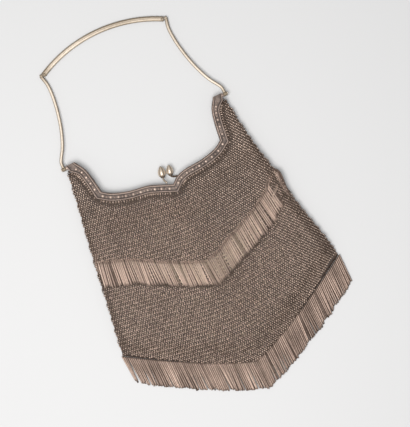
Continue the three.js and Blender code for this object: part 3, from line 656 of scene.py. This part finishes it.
def beadRow(name, mirrored):
    domes, domeFaces = beadDome()
    line = bandLine(0.5, 0.35)
    total = edgeAlong[-1]
    step = band["beadPitch"] / 2
    count = int((total - 2 * step) / step)
    at = (total - count * step) / 2 + np.arange(count + 1) * step
    rng = np.random.default_rng(7)
    at = at + rng.normal(0, 0.22, len(at))
    x, y = np.interp(at, edgeAlong, line[:, 0]), np.interp(at, edgeAlong, line[:, 1])
    size = np.where(np.arange(count + 1) % 2, band["smallBead"], band["largeBead"])
    tones = np.clip(rng.uniform(0, 0.35, len(x)) + 0.35 * (np.arange(count + 1) % 2), 0, 1)
    points = domes[None, :, :] * np.stack([size, size, size * 0.55], axis=1)[:, None, :]
    points = points + np.stack([x, y, np.full(len(x), frameForm["channel"])], axis=1)[:, None, :]
    points[:, :, 2] = np.minimum(points[:, :, 2], band["depth"])
    if mirrored:
        points[:, :, 2] = band["depth"] - points[:, :, 2]
    mesh = repeatedMesh(name, domeFaces, points, {"tone": tones})
    if mirrored:
        mesh.flip_normals()
    showPiece(name, mesh, beadSilver, "purse")


beadRow("frameBeadsFront", False)
beadRow("frameBeadsBack", True)

links = {"pitch": 2.1, "stretch": 1.5, "height": 8.5, "start": 3.5, "tilt": 70, "out": 0.7}


def attachmentLinks(name, mirrored):  # a row of rings that sews the mesh to the band
    template, faces = linkRing()
    line, outer = bandLine(1, 0.55), bandLine(1, 1.6)
    at = np.arange(links["start"], edgeAlong[-1] - links["start"], links["pitch"])
    pick = lambda rows: np.stack([np.interp(at, edgeAlong, rows[:, n]) for n in range(2)], axis=1)
    inner, beyond = pick(line), pick(outer)
    away = unit(beyond - inner)
    side = np.stack([away[:, 1], -away[:, 0]], axis=1)
    flat = lambda v: np.concatenate([v, np.zeros((len(v), 1))], axis=1)
    tilt = math.radians(links["tilt"])
    up = np.tile([0, 0, 1.0], (len(at), 1))
    sideAxis = flat(side) * math.cos(tilt) + up * math.sin(tilt)
    ringUp = up * math.cos(tilt) - flat(side) * math.sin(tilt)
    axes = np.stack([sideAxis, flat(away) * links["stretch"], ringUp], axis=1)
    centre = flat(inner + away * links["out"]) + [0, 0, links["height"]]
    points = centre[:, None, :] + np.einsum("ck,mkd->mcd", template, axes)
    if mirrored:
        points[:, :, 2] = band["depth"] - points[:, :, 2]
    rng = np.random.default_rng(5)
    # link ends painted darker: painted shade where they tuck under, partly tarnish
    tones = np.clip(rng.uniform(0.1, 0.6, len(at))[:, None] + 0.7 * ringEnds(template), 0, 1)
    mesh = repeatedMesh(name, faces, points, {"tone": tones})
    if mirrored:
        mesh.flip_normals()
    showPiece(name, mesh, meshSilver, "purse")


attachmentLinks("frameLinksFront", False)
attachmentLinks("frameLinksBack", True)
print("purse: frame")

# hinge: knuckle barrels, pins with domed heads
hinge = {
    "height": 4.9, "radius": 1.7, "barrelFrom": 67.4, "barrelTo": 72.3, "pinFrom": 67.0, "pinTo": 76.6,
    "pinRadius": 0.7, "headRadius": 1.25,
}


def lathe(bm, profile, origin, axis, segments=20):  # spins (along, radius) points about an axis
    axis = Vector(axis).normalized()
    side = axis.orthogonal().normalized()
    verts = [bm.verts.new(Vector(origin) + axis * a + side * r) for a, r in profile]
    edges = [bm.edges.new(pair) for pair in zip(verts[:-1], verts[1:])]
    bmesh.ops.spin(
        bm, geom=verts + edges, cent=Vector(origin), axis=axis, angle=math.tau, steps=segments,
        use_merge=True, use_duplicate=False,
    )


def sleeve(wide, radius, bore, edge):  # profile of a short tube with eased ends
    low = radius - 0.2
    return [(0, bore), (0, low), (edge, radius), (wide - edge, radius), (wide, low), (wide, bore), (0, bore)]


def toMetres(bm):
    for v in bm.verts:
        v.co = Vector(place(v.co))


def hingePin(word, side):
    bm = bmesh.new()
    origin = (side * hinge["pinFrom"], 0, hinge["height"])
    length = hinge["pinTo"] - hinge["pinFrom"]
    r, h = hinge["pinRadius"], hinge["headRadius"]
    profile = [(0, 0), (0, r * 0.8), (0.15, r), (length - 0.55, r), (length - 0.5, h)]
    profile += [(length - 0.2, h * 0.92), (length - 0.05, h * 0.6), (length, 0)]
    lathe(bm, profile, origin, (side, 0, 0))
    toMetres(bm)
    piece = showPiece("hingePin" + word, meshFromBmesh("hingePin" + word, bm), claspSilver, "purse")
    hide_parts("hinge_pin_" + word.lower())
    bm = bmesh.new()
    for start, end in ((hinge["barrelFrom"], 69.7), (70.0, hinge["barrelTo"])):
        profile = sleeve(end - start, hinge["radius"], 0.9, 0.2)
        lathe(bm, profile, (side * start, 0, hinge["height"]), (side, 0, 0))
    toMetres(bm)
    showPiece("hingeBarrels" + word, meshFromBmesh("hingeBarrels" + word, bm), frameSilver, "purse")


hingePin("Left", -1)
hingePin("Right", 1)

# handle: two bowed arms and an arc
handle = {
    "length": 78.8, "armWidth": 2.8, "armThickness": 1.8, "arcWidth": 4.3, "arcThickness": 1.9,
    "arcRise": 14, "cornerSpan": 112.6, "eye": 1.6, "eyeLength": 2.2, "pin": 0.6, "floorGap": 0.3,
    "endGap": 0.9, "footMiddle": 74.2, "footHalf": 1.6, "footRadius": 1.7,
    "lean": 1.2, "armShades": [0.6, 0.3, 0.05, 0.1, 0.5, 0.95], "arcShades": [0.95, 0.5, 0.1, 0, 0.25, 0.7],
    "bow": [(0, 0), (0.078, 0.02), (0.13, 0.15), (0.19, 0.335), (0.254, 0.49), (0.38, 0.72), (0.508, 0.895),
            (0.635, 1.02), (0.76, 1.1), (0.888, 1.115), (0.96, 1.05), (1, 1)],
}
cornerX = handle["cornerSpan"] / 2
cornerZ = handle["eye"] + handle["floorGap"]
armLean = handle["footMiddle"] - cornerX - handle["armWidth"] / 2


def barSection(width, thickness, shades, grooves=()):
    # across, up and how dark it is painted round a bar with a low crown: painted shade down its sides and a
    # painted highlight along its crown; shades go from its left side to its right side
    w, t = width / 2, thickness / 2
    places = np.linspace(-1, 1, len(shades))
    around = [[g - 0.1, g, g + 0.1] for g in grooves]
    across = np.sort(np.concatenate([np.linspace(-0.98, 0.98, 15)] + around))
    top = []
    for share in across[::-1]:
        height = t * (1 - 0.75 * abs(share) ** 3.2)
        dark = np.interp(share, places, shades)
        if any(abs(share - g) < 0.02 for g in grooves):
            height, dark = height - 0.2, 1
        top.append((share * w, height, dark))
    left = [(-w, 0, shades[0]), (-w * 0.9, -t * 0.7, shades[0])]
    right = [(w * 0.9, -t * 0.7, shades[-1]), (w, 0, shades[-1])]
    return top + left + [(-w * 0.4, -t, 0.4), (w * 0.4, -t, 0.4)] + right


def sweepBar(bm, path, section, taper=None):
    path = np.asarray(path)
    along = unit(np.gradient(path, axis=0))
    up = np.tile([0, 0, 1.0], (len(path), 1))
    side = unit(np.cross(along, up))
    up = np.cross(side, along)
    taper = np.ones(len(path)) if taper is None else taper
    ringsOfPoints, shades = [], []
    for p, s, u, k in zip(path, side, up, taper):
        ringsOfPoints.append([p + s * x * k + u * z for x, z, _ in section])
        shades.append([shade for _, _, shade in section])
    sweepRings(bm, ringsOfPoints)
    return np.concatenate(shades)


def joinShades(bm, layer, shades, before):  # one shade for all new points, or one for each
    made = list(bm.verts)[before:]
    for v, shade in zip(made, np.broadcast_to(shades, len(made))):
        v[layer] = shade


def handleArm(word, side):
    rows = [(side * (handle["footMiddle"] - inward * armLean) - handle["lean"] * up, up * handle["length"],
             hinge["height"] + (cornerZ - hinge["height"]) * up) for up, inward in handle["bow"]]
    path = smoothPath(rows, 60)
    bm = bmesh.new()
    layer = bm.verts.layers.float.new("tarnishAndShade")
    share = np.linspace(0, 1, len(path))
    taper = 0.88 + 0.12 * share
    section = barSection(handle["armWidth"], handle["armThickness"], handle["armShades"])
    shades = sweepBar(bm, path, section, taper)
    ends = 0.35 * (smoothStep(share, 0.8, 1) + 1 - smoothStep(share, 0.02, 0.12))
    joinShades(bm, layer, np.clip(shades + np.repeat(ends, len(section)), 0, 1), 0)
    before = len(bm.verts)
    half = handle["footHalf"]
    profile = sleeve(2 * half, handle["footRadius"], 1.0, 0.25)
    start = side * (handle["footMiddle"] - half)
    lathe(bm, profile, (start, 0, hinge["height"]), (side, 0, 0))
    joinShades(bm, layer, 0.9, before)
    before = len(bm.verts)
    e, wide, pin = handle["eye"], handle["eyeLength"], handle["pin"]
    profile = [(0, 0), (0, e - 0.2), (0.25, e), (wide - 0.25, e), (wide, e - 0.3), (wide, 0)]
    lathe(bm, profile, (side * cornerX - handle["lean"], handle["length"], cornerZ), (side, 0, 0))
    inner = cornerX - handle["endGap"] - wide
    reach = cornerX - inner + 0.5
    profile = [(0, 0), (0, pin), (reach, pin), (reach, 0)]
    lathe(bm, profile, (side * inner - handle["lean"], handle["length"], cornerZ), (side, 0, 0))
    joinShades(bm, layer, 0.6, before)
    toMetres(bm)
    name = "handleArm" + word
    piece = showPiece(name, meshFromBmesh(name, bm), handleSilver, "arm_" + word.lower())
    piece.data.set_sharp_from_angle(angle=math.radians(35))
    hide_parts("handle_arm_" + word.lower())


handleArm("Left", -1)
handleArm("Right", 1)


def handleArc():
    outer = cornerX - handle["endGap"]
    rise = handle["arcRise"]
    radius = (outer * outer + rise * rise) / (2 * rise)
    halfAngle = math.asin(outer / radius)
    angles = np.linspace(-halfAngle, halfAngle, 70)
    lift = radius * (np.cos(angles) - math.cos(halfAngle))
    drop = (handle["eye"] - handle["arcThickness"] / 2) * lift / rise
    x = radius * np.sin(angles) - handle["lean"]
    path = np.stack([x, handle["length"] + lift, cornerZ - drop], axis=1)
    bm = bmesh.new()
    layer = bm.verts.layers.float.new("tarnishAndShade")
    section = barSection(handle["arcWidth"], handle["arcThickness"], handle["arcShades"], [0.05])
    shades = sweepBar(bm, path, section).reshape(len(path), len(section))
    # painted reflection: the groove is painted light on the left and dark on the right; the arc is also
    # painted darker towards its right half and at its left end
    right = smoothStep(path[:, 0], -22, 25)[:, None]
    groove = np.array([abs(x - 0.1) < 0.06 for x, _, _ in section])
    shades = np.where(groove, 0.1 + 0.85 * smoothStep(path[:, 0], -20, -12)[:, None], shades)
    shades = np.clip(shades + 0.33 * right + 0.3 * smoothStep(-path[:, 0], 47, 53)[:, None], 0, 1)
    joinShades(bm, layer, shades.ravel(), 0)
    before = len(bm.verts)
    e, wide = handle["eye"], handle["eyeLength"]
    for side in (-1, 1):
        profile = sleeve(wide, e, 0.9, 0.2)
        start = (side * (outer - wide) - handle["lean"], handle["length"], cornerZ)
        lathe(bm, profile, start, (side, 0, 0))
    joinShades(bm, layer, 0.7, before)
    toMetres(bm)
    piece = showPiece("handleArc", meshFromBmesh("handleArc", bm), handleSilver, "arc")
    piece.data.set_sharp_from_angle(angle=math.radians(35))
    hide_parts("handle_arc")


handleArc()
print("purse: handle")

# clasp: two closed buds on bent stems
clasp = {
    "radius": 3.3, "length": 10.0, "petals": 5, "stem": 0.75,
    "buds": [
        {"word": "Front", "x": -1.5, "y": -36.5, "tilt": -0.2, "size": 1.0,
         "stem": [(-2.5, -41.2, 4.9), (-2.6, -43.4, 5.8), (-1.6, -45.6, 7.3), (-1.25, -46.9, 7.4)]},
        {"word": "Back", "x": 5.2, "y": -37.9, "tilt": -0.24, "size": 0.93,
         "stem": [(4.1, -42.0, 4.9), (4.6, -43.2, 4.2), (7.0, -44.3, 2.7), (9.0, -44.8, 2.4)]},
    ],
    "rows": [(0, 0, 1), (0, 0.40, 1), (0.04, 0.55, 1), (0.09, 0.5, 0.9), (0.12, 0.62, 0.8), (0.2, 0.9, 0.1),
             (0.34, 1.0, 0), (0.5, 0.97, 0), (0.66, 0.82, 0.05), (0.8, 0.6, 0.1), (0.92, 0.34, 0.2),
             (1, 0.06, 0.4)],
}


def tubePath(bm, path, radius, segments=10):
    path = np.asarray(path)
    along = unit(np.gradient(path, axis=0))
    side = unit(np.cross(along, np.tile([0.1, 0.2, 1.0], (len(path), 1))))
    up = np.cross(side, along)
    angles = np.linspace(0, math.tau, segments, endpoint=False)
    sweepRings(bm, [[p + (s * math.cos(t) + u * math.sin(t)) * radius for t in angles]
                    for p, s, u in zip(path, side, up)])


def claspBud(bud):
    bm = bmesh.new()
    layer = bm.verts.layers.float.new("tarnishAndShade")
    axis = np.array([-math.sin(bud["tilt"]), math.cos(bud["tilt"]), 0])
    side, up = np.array([axis[1], -axis[0], 0]), np.array([0, 0, 1.0])
    length, radius = clasp["length"] * bud["size"], clasp["radius"] * bud["size"]
    base = np.array([bud["x"], bud["y"], hinge["height"]]) - axis * length / 2
    ups = [row[0] for row in clasp["rows"]]
    stations, shades = [], []
    for share in np.concatenate([[0, 0.001], np.linspace(0.03, 1, 26)]):
        out = np.interp(share, ups, [row[1] for row in clasp["rows"]]) if share else 0.05
        dark = np.interp(share, ups, [row[2] for row in clasp["rows"]])
        ring, shade = [], []
        for n in range(40):
            turn = math.tau * n / 40
            groove = abs(math.cos(turn * clasp["petals"] / 2 + 0.6)) ** 10 * smoothStep(share, 0.1, 0.3)
            r = radius * out * (1 - 0.14 * groove)
            ring.append(base + axis * share * length + (side * math.cos(turn) + up * math.sin(turn)) * r)
            shade.append(min(1, dark + 0.8 * groove))
        stations.append(ring)
        shades.append(shade)
    sweepRings(bm, stations)
    joinShades(bm, layer, np.concatenate(shades), 0)
    before = len(bm.verts)
    tubePath(bm, smoothPath(bud["stem"], 14), clasp["stem"])
    joinShades(bm, layer, 0.35 if bud["word"] == "Front" else 0.9, before)
    toMetres(bm)
    name = "claspBud" + bud["word"]
    piece = showPiece(name, meshFromBmesh(name, bm), claspSilver, "purse")
    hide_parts("clasp_" + bud["word"].lower())


for bud in clasp["buds"]:
    claspBud(bud)
print("purse: clasp")

# fringe: fine chain strands hung side by side
def strandTemplate():
    bm = bmesh.new()
    bmesh.ops.create_cone(
        bm, cap_ends=True, cap_tris=False, segments=fringe["sides"], radius1=1, radius2=1, depth=1,
    )
    sideEdges = [e for e in bm.edges if abs(e.verts[0].co.z - e.verts[1].co.z) > 0.5]
    bmesh.ops.subdivide_edges(bm, edges=sideEdges, cuts=fringe["cuts"], use_grid_fill=True)
    return templateOf(bm)


def strandMesh(name, paths, radii, tones):  # one thin tube along each path
    template, faces = strandTemplate()
    share = 0.5 - template[:, 2]
    stations = paths.shape[1]
    at = share * (stations - 1)
    i = np.clip(at.astype(int), 0, stations - 2)
    t = (at - i)[None, :, None]
    along = unit(np.gradient(paths, axis=1))
    up = np.zeros_like(paths)
    up[..., 2] = 1
    side = unit(np.cross(along, up))
    up = np.cross(side, along)
    mixed = lambda rows: rows[:, i] * (1 - t) + rows[:, i + 1] * t
    ring = np.round(share * (fringe["cuts"] + 1)).astype(int)
    size = (1 + 0.03 * np.where(ring % 2, 1, -1)) * radii[:, None]
    points = mixed(paths) + mixed(side) * (template[None, :, 0] * size)[..., None]
    points = points + mixed(up) * (template[None, :, 1] * size)[..., None]
    points[:, :, 2] = np.maximum(points[:, :, 2], 0.02)
    mesh = repeatedMesh(name, faces, points, {"tone": tones})
    return showPiece(name, mesh, fringeSilver, "purse")


def slitShift(x, slits):  # strands part on either side of a slit
    shift = np.zeros_like(x)
    for at, wide, reach in slits:
        away = x - at
        shift += np.sign(away) * wide / 2 * np.exp(-np.abs(away) / (reach * 2.2))
    return shift


def evenAcross(line, limit, pitch):
    a = np.linspace(-limit, limit, 4000)
    points = line(a)
    along = np.concatenate([[0], np.cumsum(np.linalg.norm(np.diff(points, axis=0), axis=1))])
    count = int(along[-1] / pitch)
    return np.interp(np.linspace(0, along[-1], count + 1), along, a)


def strandTones(x, rng, middle):  # light and dark groups, with a few strands quite bright or quite dark
    group = 0.05 * np.sin(x / 3.1 + 1) + 0.04 * np.sin(x / 7.7) + 0.04 * np.sin(x / 1.9 + 2)
    tones = middle + group + rng.normal(0, 0.07, len(x))
    tones += 0.4 * (rng.random(len(x)) < 0.05) - 0.2 * (rng.random(len(x)) < 0.08)
    return np.clip(tones, 0, 1)


def strandSway(x, rng):  # neighbours lean together, a few stray
    sway = 0.45 * np.sin(x / 2.3 + 0.4) + 0.4 * np.sin(x / 5.1 + 2) + 0.35 * np.sin(x / 9.3)
    return sway + rng.normal(0, 0.25, len(x))


def strandLengths(x, rng, length):
    return length + 0.35 * np.sin(x / 2.9) + 0.3 * np.sin(x / 1.7 + 1) + rng.normal(0, 0.4, len(x))


def middleStrands(name, face, seed, limits, lift, middle):
    rng = np.random.default_rng(seed)
    share = np.concatenate([[0, 0.04, 0.08, 0.12], np.linspace(0.18, 1, 7)])
    level = lambda a: skin(a, hangY(a), 0, face) * [1, 0, 1]
    across = evenAcross(level, 1, fringe["pitch"])
    across = across[(across > limits[0]) & (across < limits[1])]
    across = across + rng.normal(0, 0.0015, len(across))
    top = skin(across, hangY(across), lift, face)
    x = top[:, 0]
    length = strandLengths(x, rng, fringe["middle"])
    drift = slitShift(x, fringe["middleSlits"]) + strandSway(x, rng)
    a = across[:, None] + drift[:, None] * share ** 0.9 / halfWidth(0.6)
    start = fringe["start"] + rng.normal(0, 0.4, len(across))
    y = (hangY(across) + start)[:, None] - (length + fringe["tuck"])[:, None] * share
    paths = skin(np.clip(a, -0.9985, 0.9985), y, lift, face)
    spread = rng.normal(0, 0.16, len(across))[:, None] + 0.22 * np.sin(share * math.pi)
    paths[..., 2] += face * (spread - 1.6 * (1 - smoothStep(share, 0, 0.14)))  # tops tucked under the rings
    paths[..., 2] = np.maximum(paths[..., 2], 0.75)
    radii = np.full(len(across), fringe["radius"]) * rng.uniform(0.85, 1.08, len(across))
    return strandMesh(name, paths, radii, strandTones(x, rng, middle))


front = middleStrands("fringeMiddleFront", 1, 21, (-0.955, fringe["rightEnd"]), 0.95, 0.2)
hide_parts("fringe_middle_front")
# the under layer is painted darker as the shade beneath and between the front strands
middleStrands("fringeMiddleUnder", 1, 23, (-0.955, fringe["rightEnd"]), 0.3, 0.75)
back = middleStrands("fringeMiddleBack", -1, 22, (-0.97, 0.97), 0.55, 0.3)
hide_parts("fringe_middle_back")

# loops and crossed strands at the ends of the front's middle fringe
tangle = [
    {"strands": 2, "tone": 0.6, "line": [
        (83.3, -74.9), (78.9, -77.9), (74.6, -81.1), (71.8, -84.8), (70.8, -90.0), (71.2, -94.3)]},
    {"strands": 2, "tone": 0.5, "line": [
        (82.5, -75.6), (80.1, -79.0), (75.9, -82.7), (73.6, -86.2), (74.0, -91.5)]},
    {"strands": 2, "tone": 0.3, "line": [
        (83.1, -75.3), (82.7, -81.3), (81.1, -86.7), (77.5, -91.1), (73.9, -93.5)]},
    {"strands": 3, "tone": 0.95, "line": [
        (83.8, -74.7), (85.6, -76), (86.6, -79.5), (86.4, -84.5), (86.2, -89.5), (86.6, -94.2),
        (87, -98.3)]},
    {"strands": 3, "tone": 0.4, "line": [
        (85.0, -76.7), (84.6, -84.7), (85.1, -92.4), (86.2, -99.5)]},
    {"strands": 2, "tone": 0.8, "line": [
        (77.3, -92.0), (78.1, -97.0), (78.6, -101.3), (78.7, -105.1)]},
    {"strands": 4, "tone": 0.35, "line": [
        (72.8, -94.0), (74.6, -100.0), (76.6, -105.5)]},
    {"strands": 2, "tone": 0.6, "line": [
        (-79.5, -75), (-82.3, -80), (-83.6, -87), (-82.4, -94), (-83.2, -101)]},
]


def tangledStrands(name, seed):
    rng = np.random.default_rng(seed)
    paths, tones = [], []
    for order, bundle in enumerate(tangle):
        line = smoothPath(bundle["line"], 11)
        step = unit(np.gradient(line, axis=0))
        beside = np.stack([-step[:, 1], step[:, 0]], axis=1)
        for n in range(bundle["strands"]):
            away = (n - (bundle["strands"] - 1) / 2) * 1.05
            spread = 0.55 + 0.45 * np.sin(np.linspace(0, math.pi, 11) + rng.uniform(-0.4, 0.4))
            spot = line + beside * (away * spread)[:, None]
            down = np.clip(-spot[:, 1] / 200, 0, 1)
            across = (spot[:, 0] - middleX(down)) / halfWidth(down)
            z = skin(np.clip(across, -0.995, 0.995), spot[:, 1], 1.1 + 0.25 * (order % 3), 1)[:, 2]
            paths.append(np.column_stack([spot, z + rng.normal(0, 0.12)]))
            tones.append(np.clip(bundle["tone"] + rng.normal(0, 0.14), 0, 1))
    radii = rng.uniform(0.5, 0.62, len(paths))
    strandMesh(name, np.array(paths), radii, np.array(tones))


tangledStrands("fringeTangle", 41)


def bottomStrands(name, layer, seed):
    rng = np.random.default_rng(seed)
    reach = pouch["width"] / 2
    level = lambda a: np.stack([a * reach, 0 * a, 0 * a], axis=1)
    across = evenAcross(level, 0.998, fringe["pitch"]) + rng.normal(0, 0.0012)
    if layer == 0:
        across = across[:-1] + 0.5 * (across[1] - across[0])
    x = pouch["lean"] + across * reach
    share = np.linspace(0, 1, 10)
    length = strandLengths(x, rng, fringe["bottom"] - 0.3)
    drift = slitShift(x, fringe["bottomSlits"]) + strandSway(x, rng) + rng.normal(0, 0.3, len(x))
    corner = np.clip((-x - 80) / 14, 0, 1.3)
    length = length - corner * rng.uniform(0, 3, len(x))
    drift += 0.9 * corner
    height = (2.25 if layer else 0.95) + rng.normal(0, 0.16, len(x))
    end = 1.5 if layer else 0.75
    px = x[:, None] + drift[:, None] * share ** 1.1
    py = bottomLine(across)[:, None] + 0.3 - (length[:, None] + 0.3) * share
    pz = height[:, None] + (end - height)[:, None] * share ** 0.7
    paths = np.stack([px, py, np.maximum(pz, 0.75)], axis=-1)
    # the lower layer is painted darker as the shade under and between the upper strands
    tones = strandTones(x, rng, 0.34 if layer else 0.75) + 0.1 * smoothStep(x, -20, 40)
    radii = np.full(len(x), fringe["radius"]) * rng.uniform(0.85, 1.08, len(x))
    return strandMesh(name, paths, radii, tones)


upper = bottomStrands("fringeBottomUpper", 1, 31)
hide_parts("fringe_bottom")
bottomStrands("fringeBottomLower", 0, 32)
print("purse: fringe")

# table, light and camera
view = {
    "centre": (16.6, -83.1, 5), "tall": 355.8, "distance": 1100.0, "turn": -25.15,
    "floor": (0.53, 0.53, 0.53), "sky": (0.97, 0.98, 1.0), "skyDark": 0.26, "skyBright": 0.5,
    "skyFrom": (-0.62, -0.62, 0.48),
}
centre = Vector(place(view["centre"]))
bm = bmesh.new()
bmesh.ops.create_grid(bm, x_segments=1, y_segments=1, size=3)
table = bpy.data.objects.new("table", meshFromBmesh("table", bm))
bpy.context.scene.collection.objects.link(table)
tablePaper = bpy.data.materials.new("tablePaper")
tablePaper.use_nodes = True
tablePaper.node_tree.nodes["Principled BSDF"].inputs["Base Color"].default_value = (*view["floor"], 1)
tablePaper.node_tree.nodes["Principled BSDF"].inputs["Roughness"].default_value = 0.9
table.data.materials.append(tablePaper)

world = bpy.data.worlds.new("studio")
bpy.context.scene.world = world
world.use_nodes = True
n, link = world.node_tree.nodes, world.node_tree.links.new
n["Background"].inputs["Color"].default_value = (*view["sky"], 1)
turn = Matrix.Rotation(math.radians(view["turn"]), 3, "Z")
photoRight, photoUp = turn @ Vector((1, 0, 0)), turn @ Vector((0, 1, 0))
toSky, towards = n.new("ShaderNodeTexCoord"), n.new("ShaderNodeVectorMath")
level = n.new("ShaderNodeMapRange")
towards.operation = "DOT_PRODUCT"
towards.inputs[1].default_value = turn @ Vector(view["skyFrom"])
link(toSky.outputs["Generated"], towards.inputs[0])
level.inputs["From Min"].default_value = -0.6
level.inputs["To Min"].default_value = view["skyDark"]
level.inputs["To Max"].default_value = view["skyBright"]
link(towards.outputs["Value"], level.inputs["Value"])
link(level.outputs[0], n["Background"].inputs["Strength"])


def softLight(name, across, upwards, height, size, watts, colour):
    lamp = bpy.data.lights.new(name, "AREA")
    lamp.shape, lamp.size, lamp.energy, lamp.color = "SQUARE", size, watts, colour
    light = bpy.data.objects.new(name, lamp)
    bpy.context.scene.collection.objects.link(light)
    light.location = centre + photoRight * across + photoUp * upwards + Vector((0, 0, height))
    light.rotation_euler = (centre - light.location).to_track_quat("-Z", "Y").to_euler()


softLight("window", -0.19, -0.19, 1.15, 0.8, 20, (1, 0.99, 0.98))
bpy.context.scene.view_settings.view_transform = "Standard"

camera = bpy.data.objects.new("camera", bpy.data.cameras.new("camera"))
bpy.context.scene.collection.objects.link(camera)
camera.data.sensor_fit = "AUTO"
camera.data.sensor_width = 36
camera.data.lens = 18 / (view["tall"] / 2 / view["distance"])
camera.location = centre + Vector((0, 0, view["distance"] / 1000))
camera.rotation_euler = (0, 0, math.radians(view["turn"]))
camera.data.clip_start = 0.05
bpy.context.scene.camera = camera
print("purse: table, light and camera")
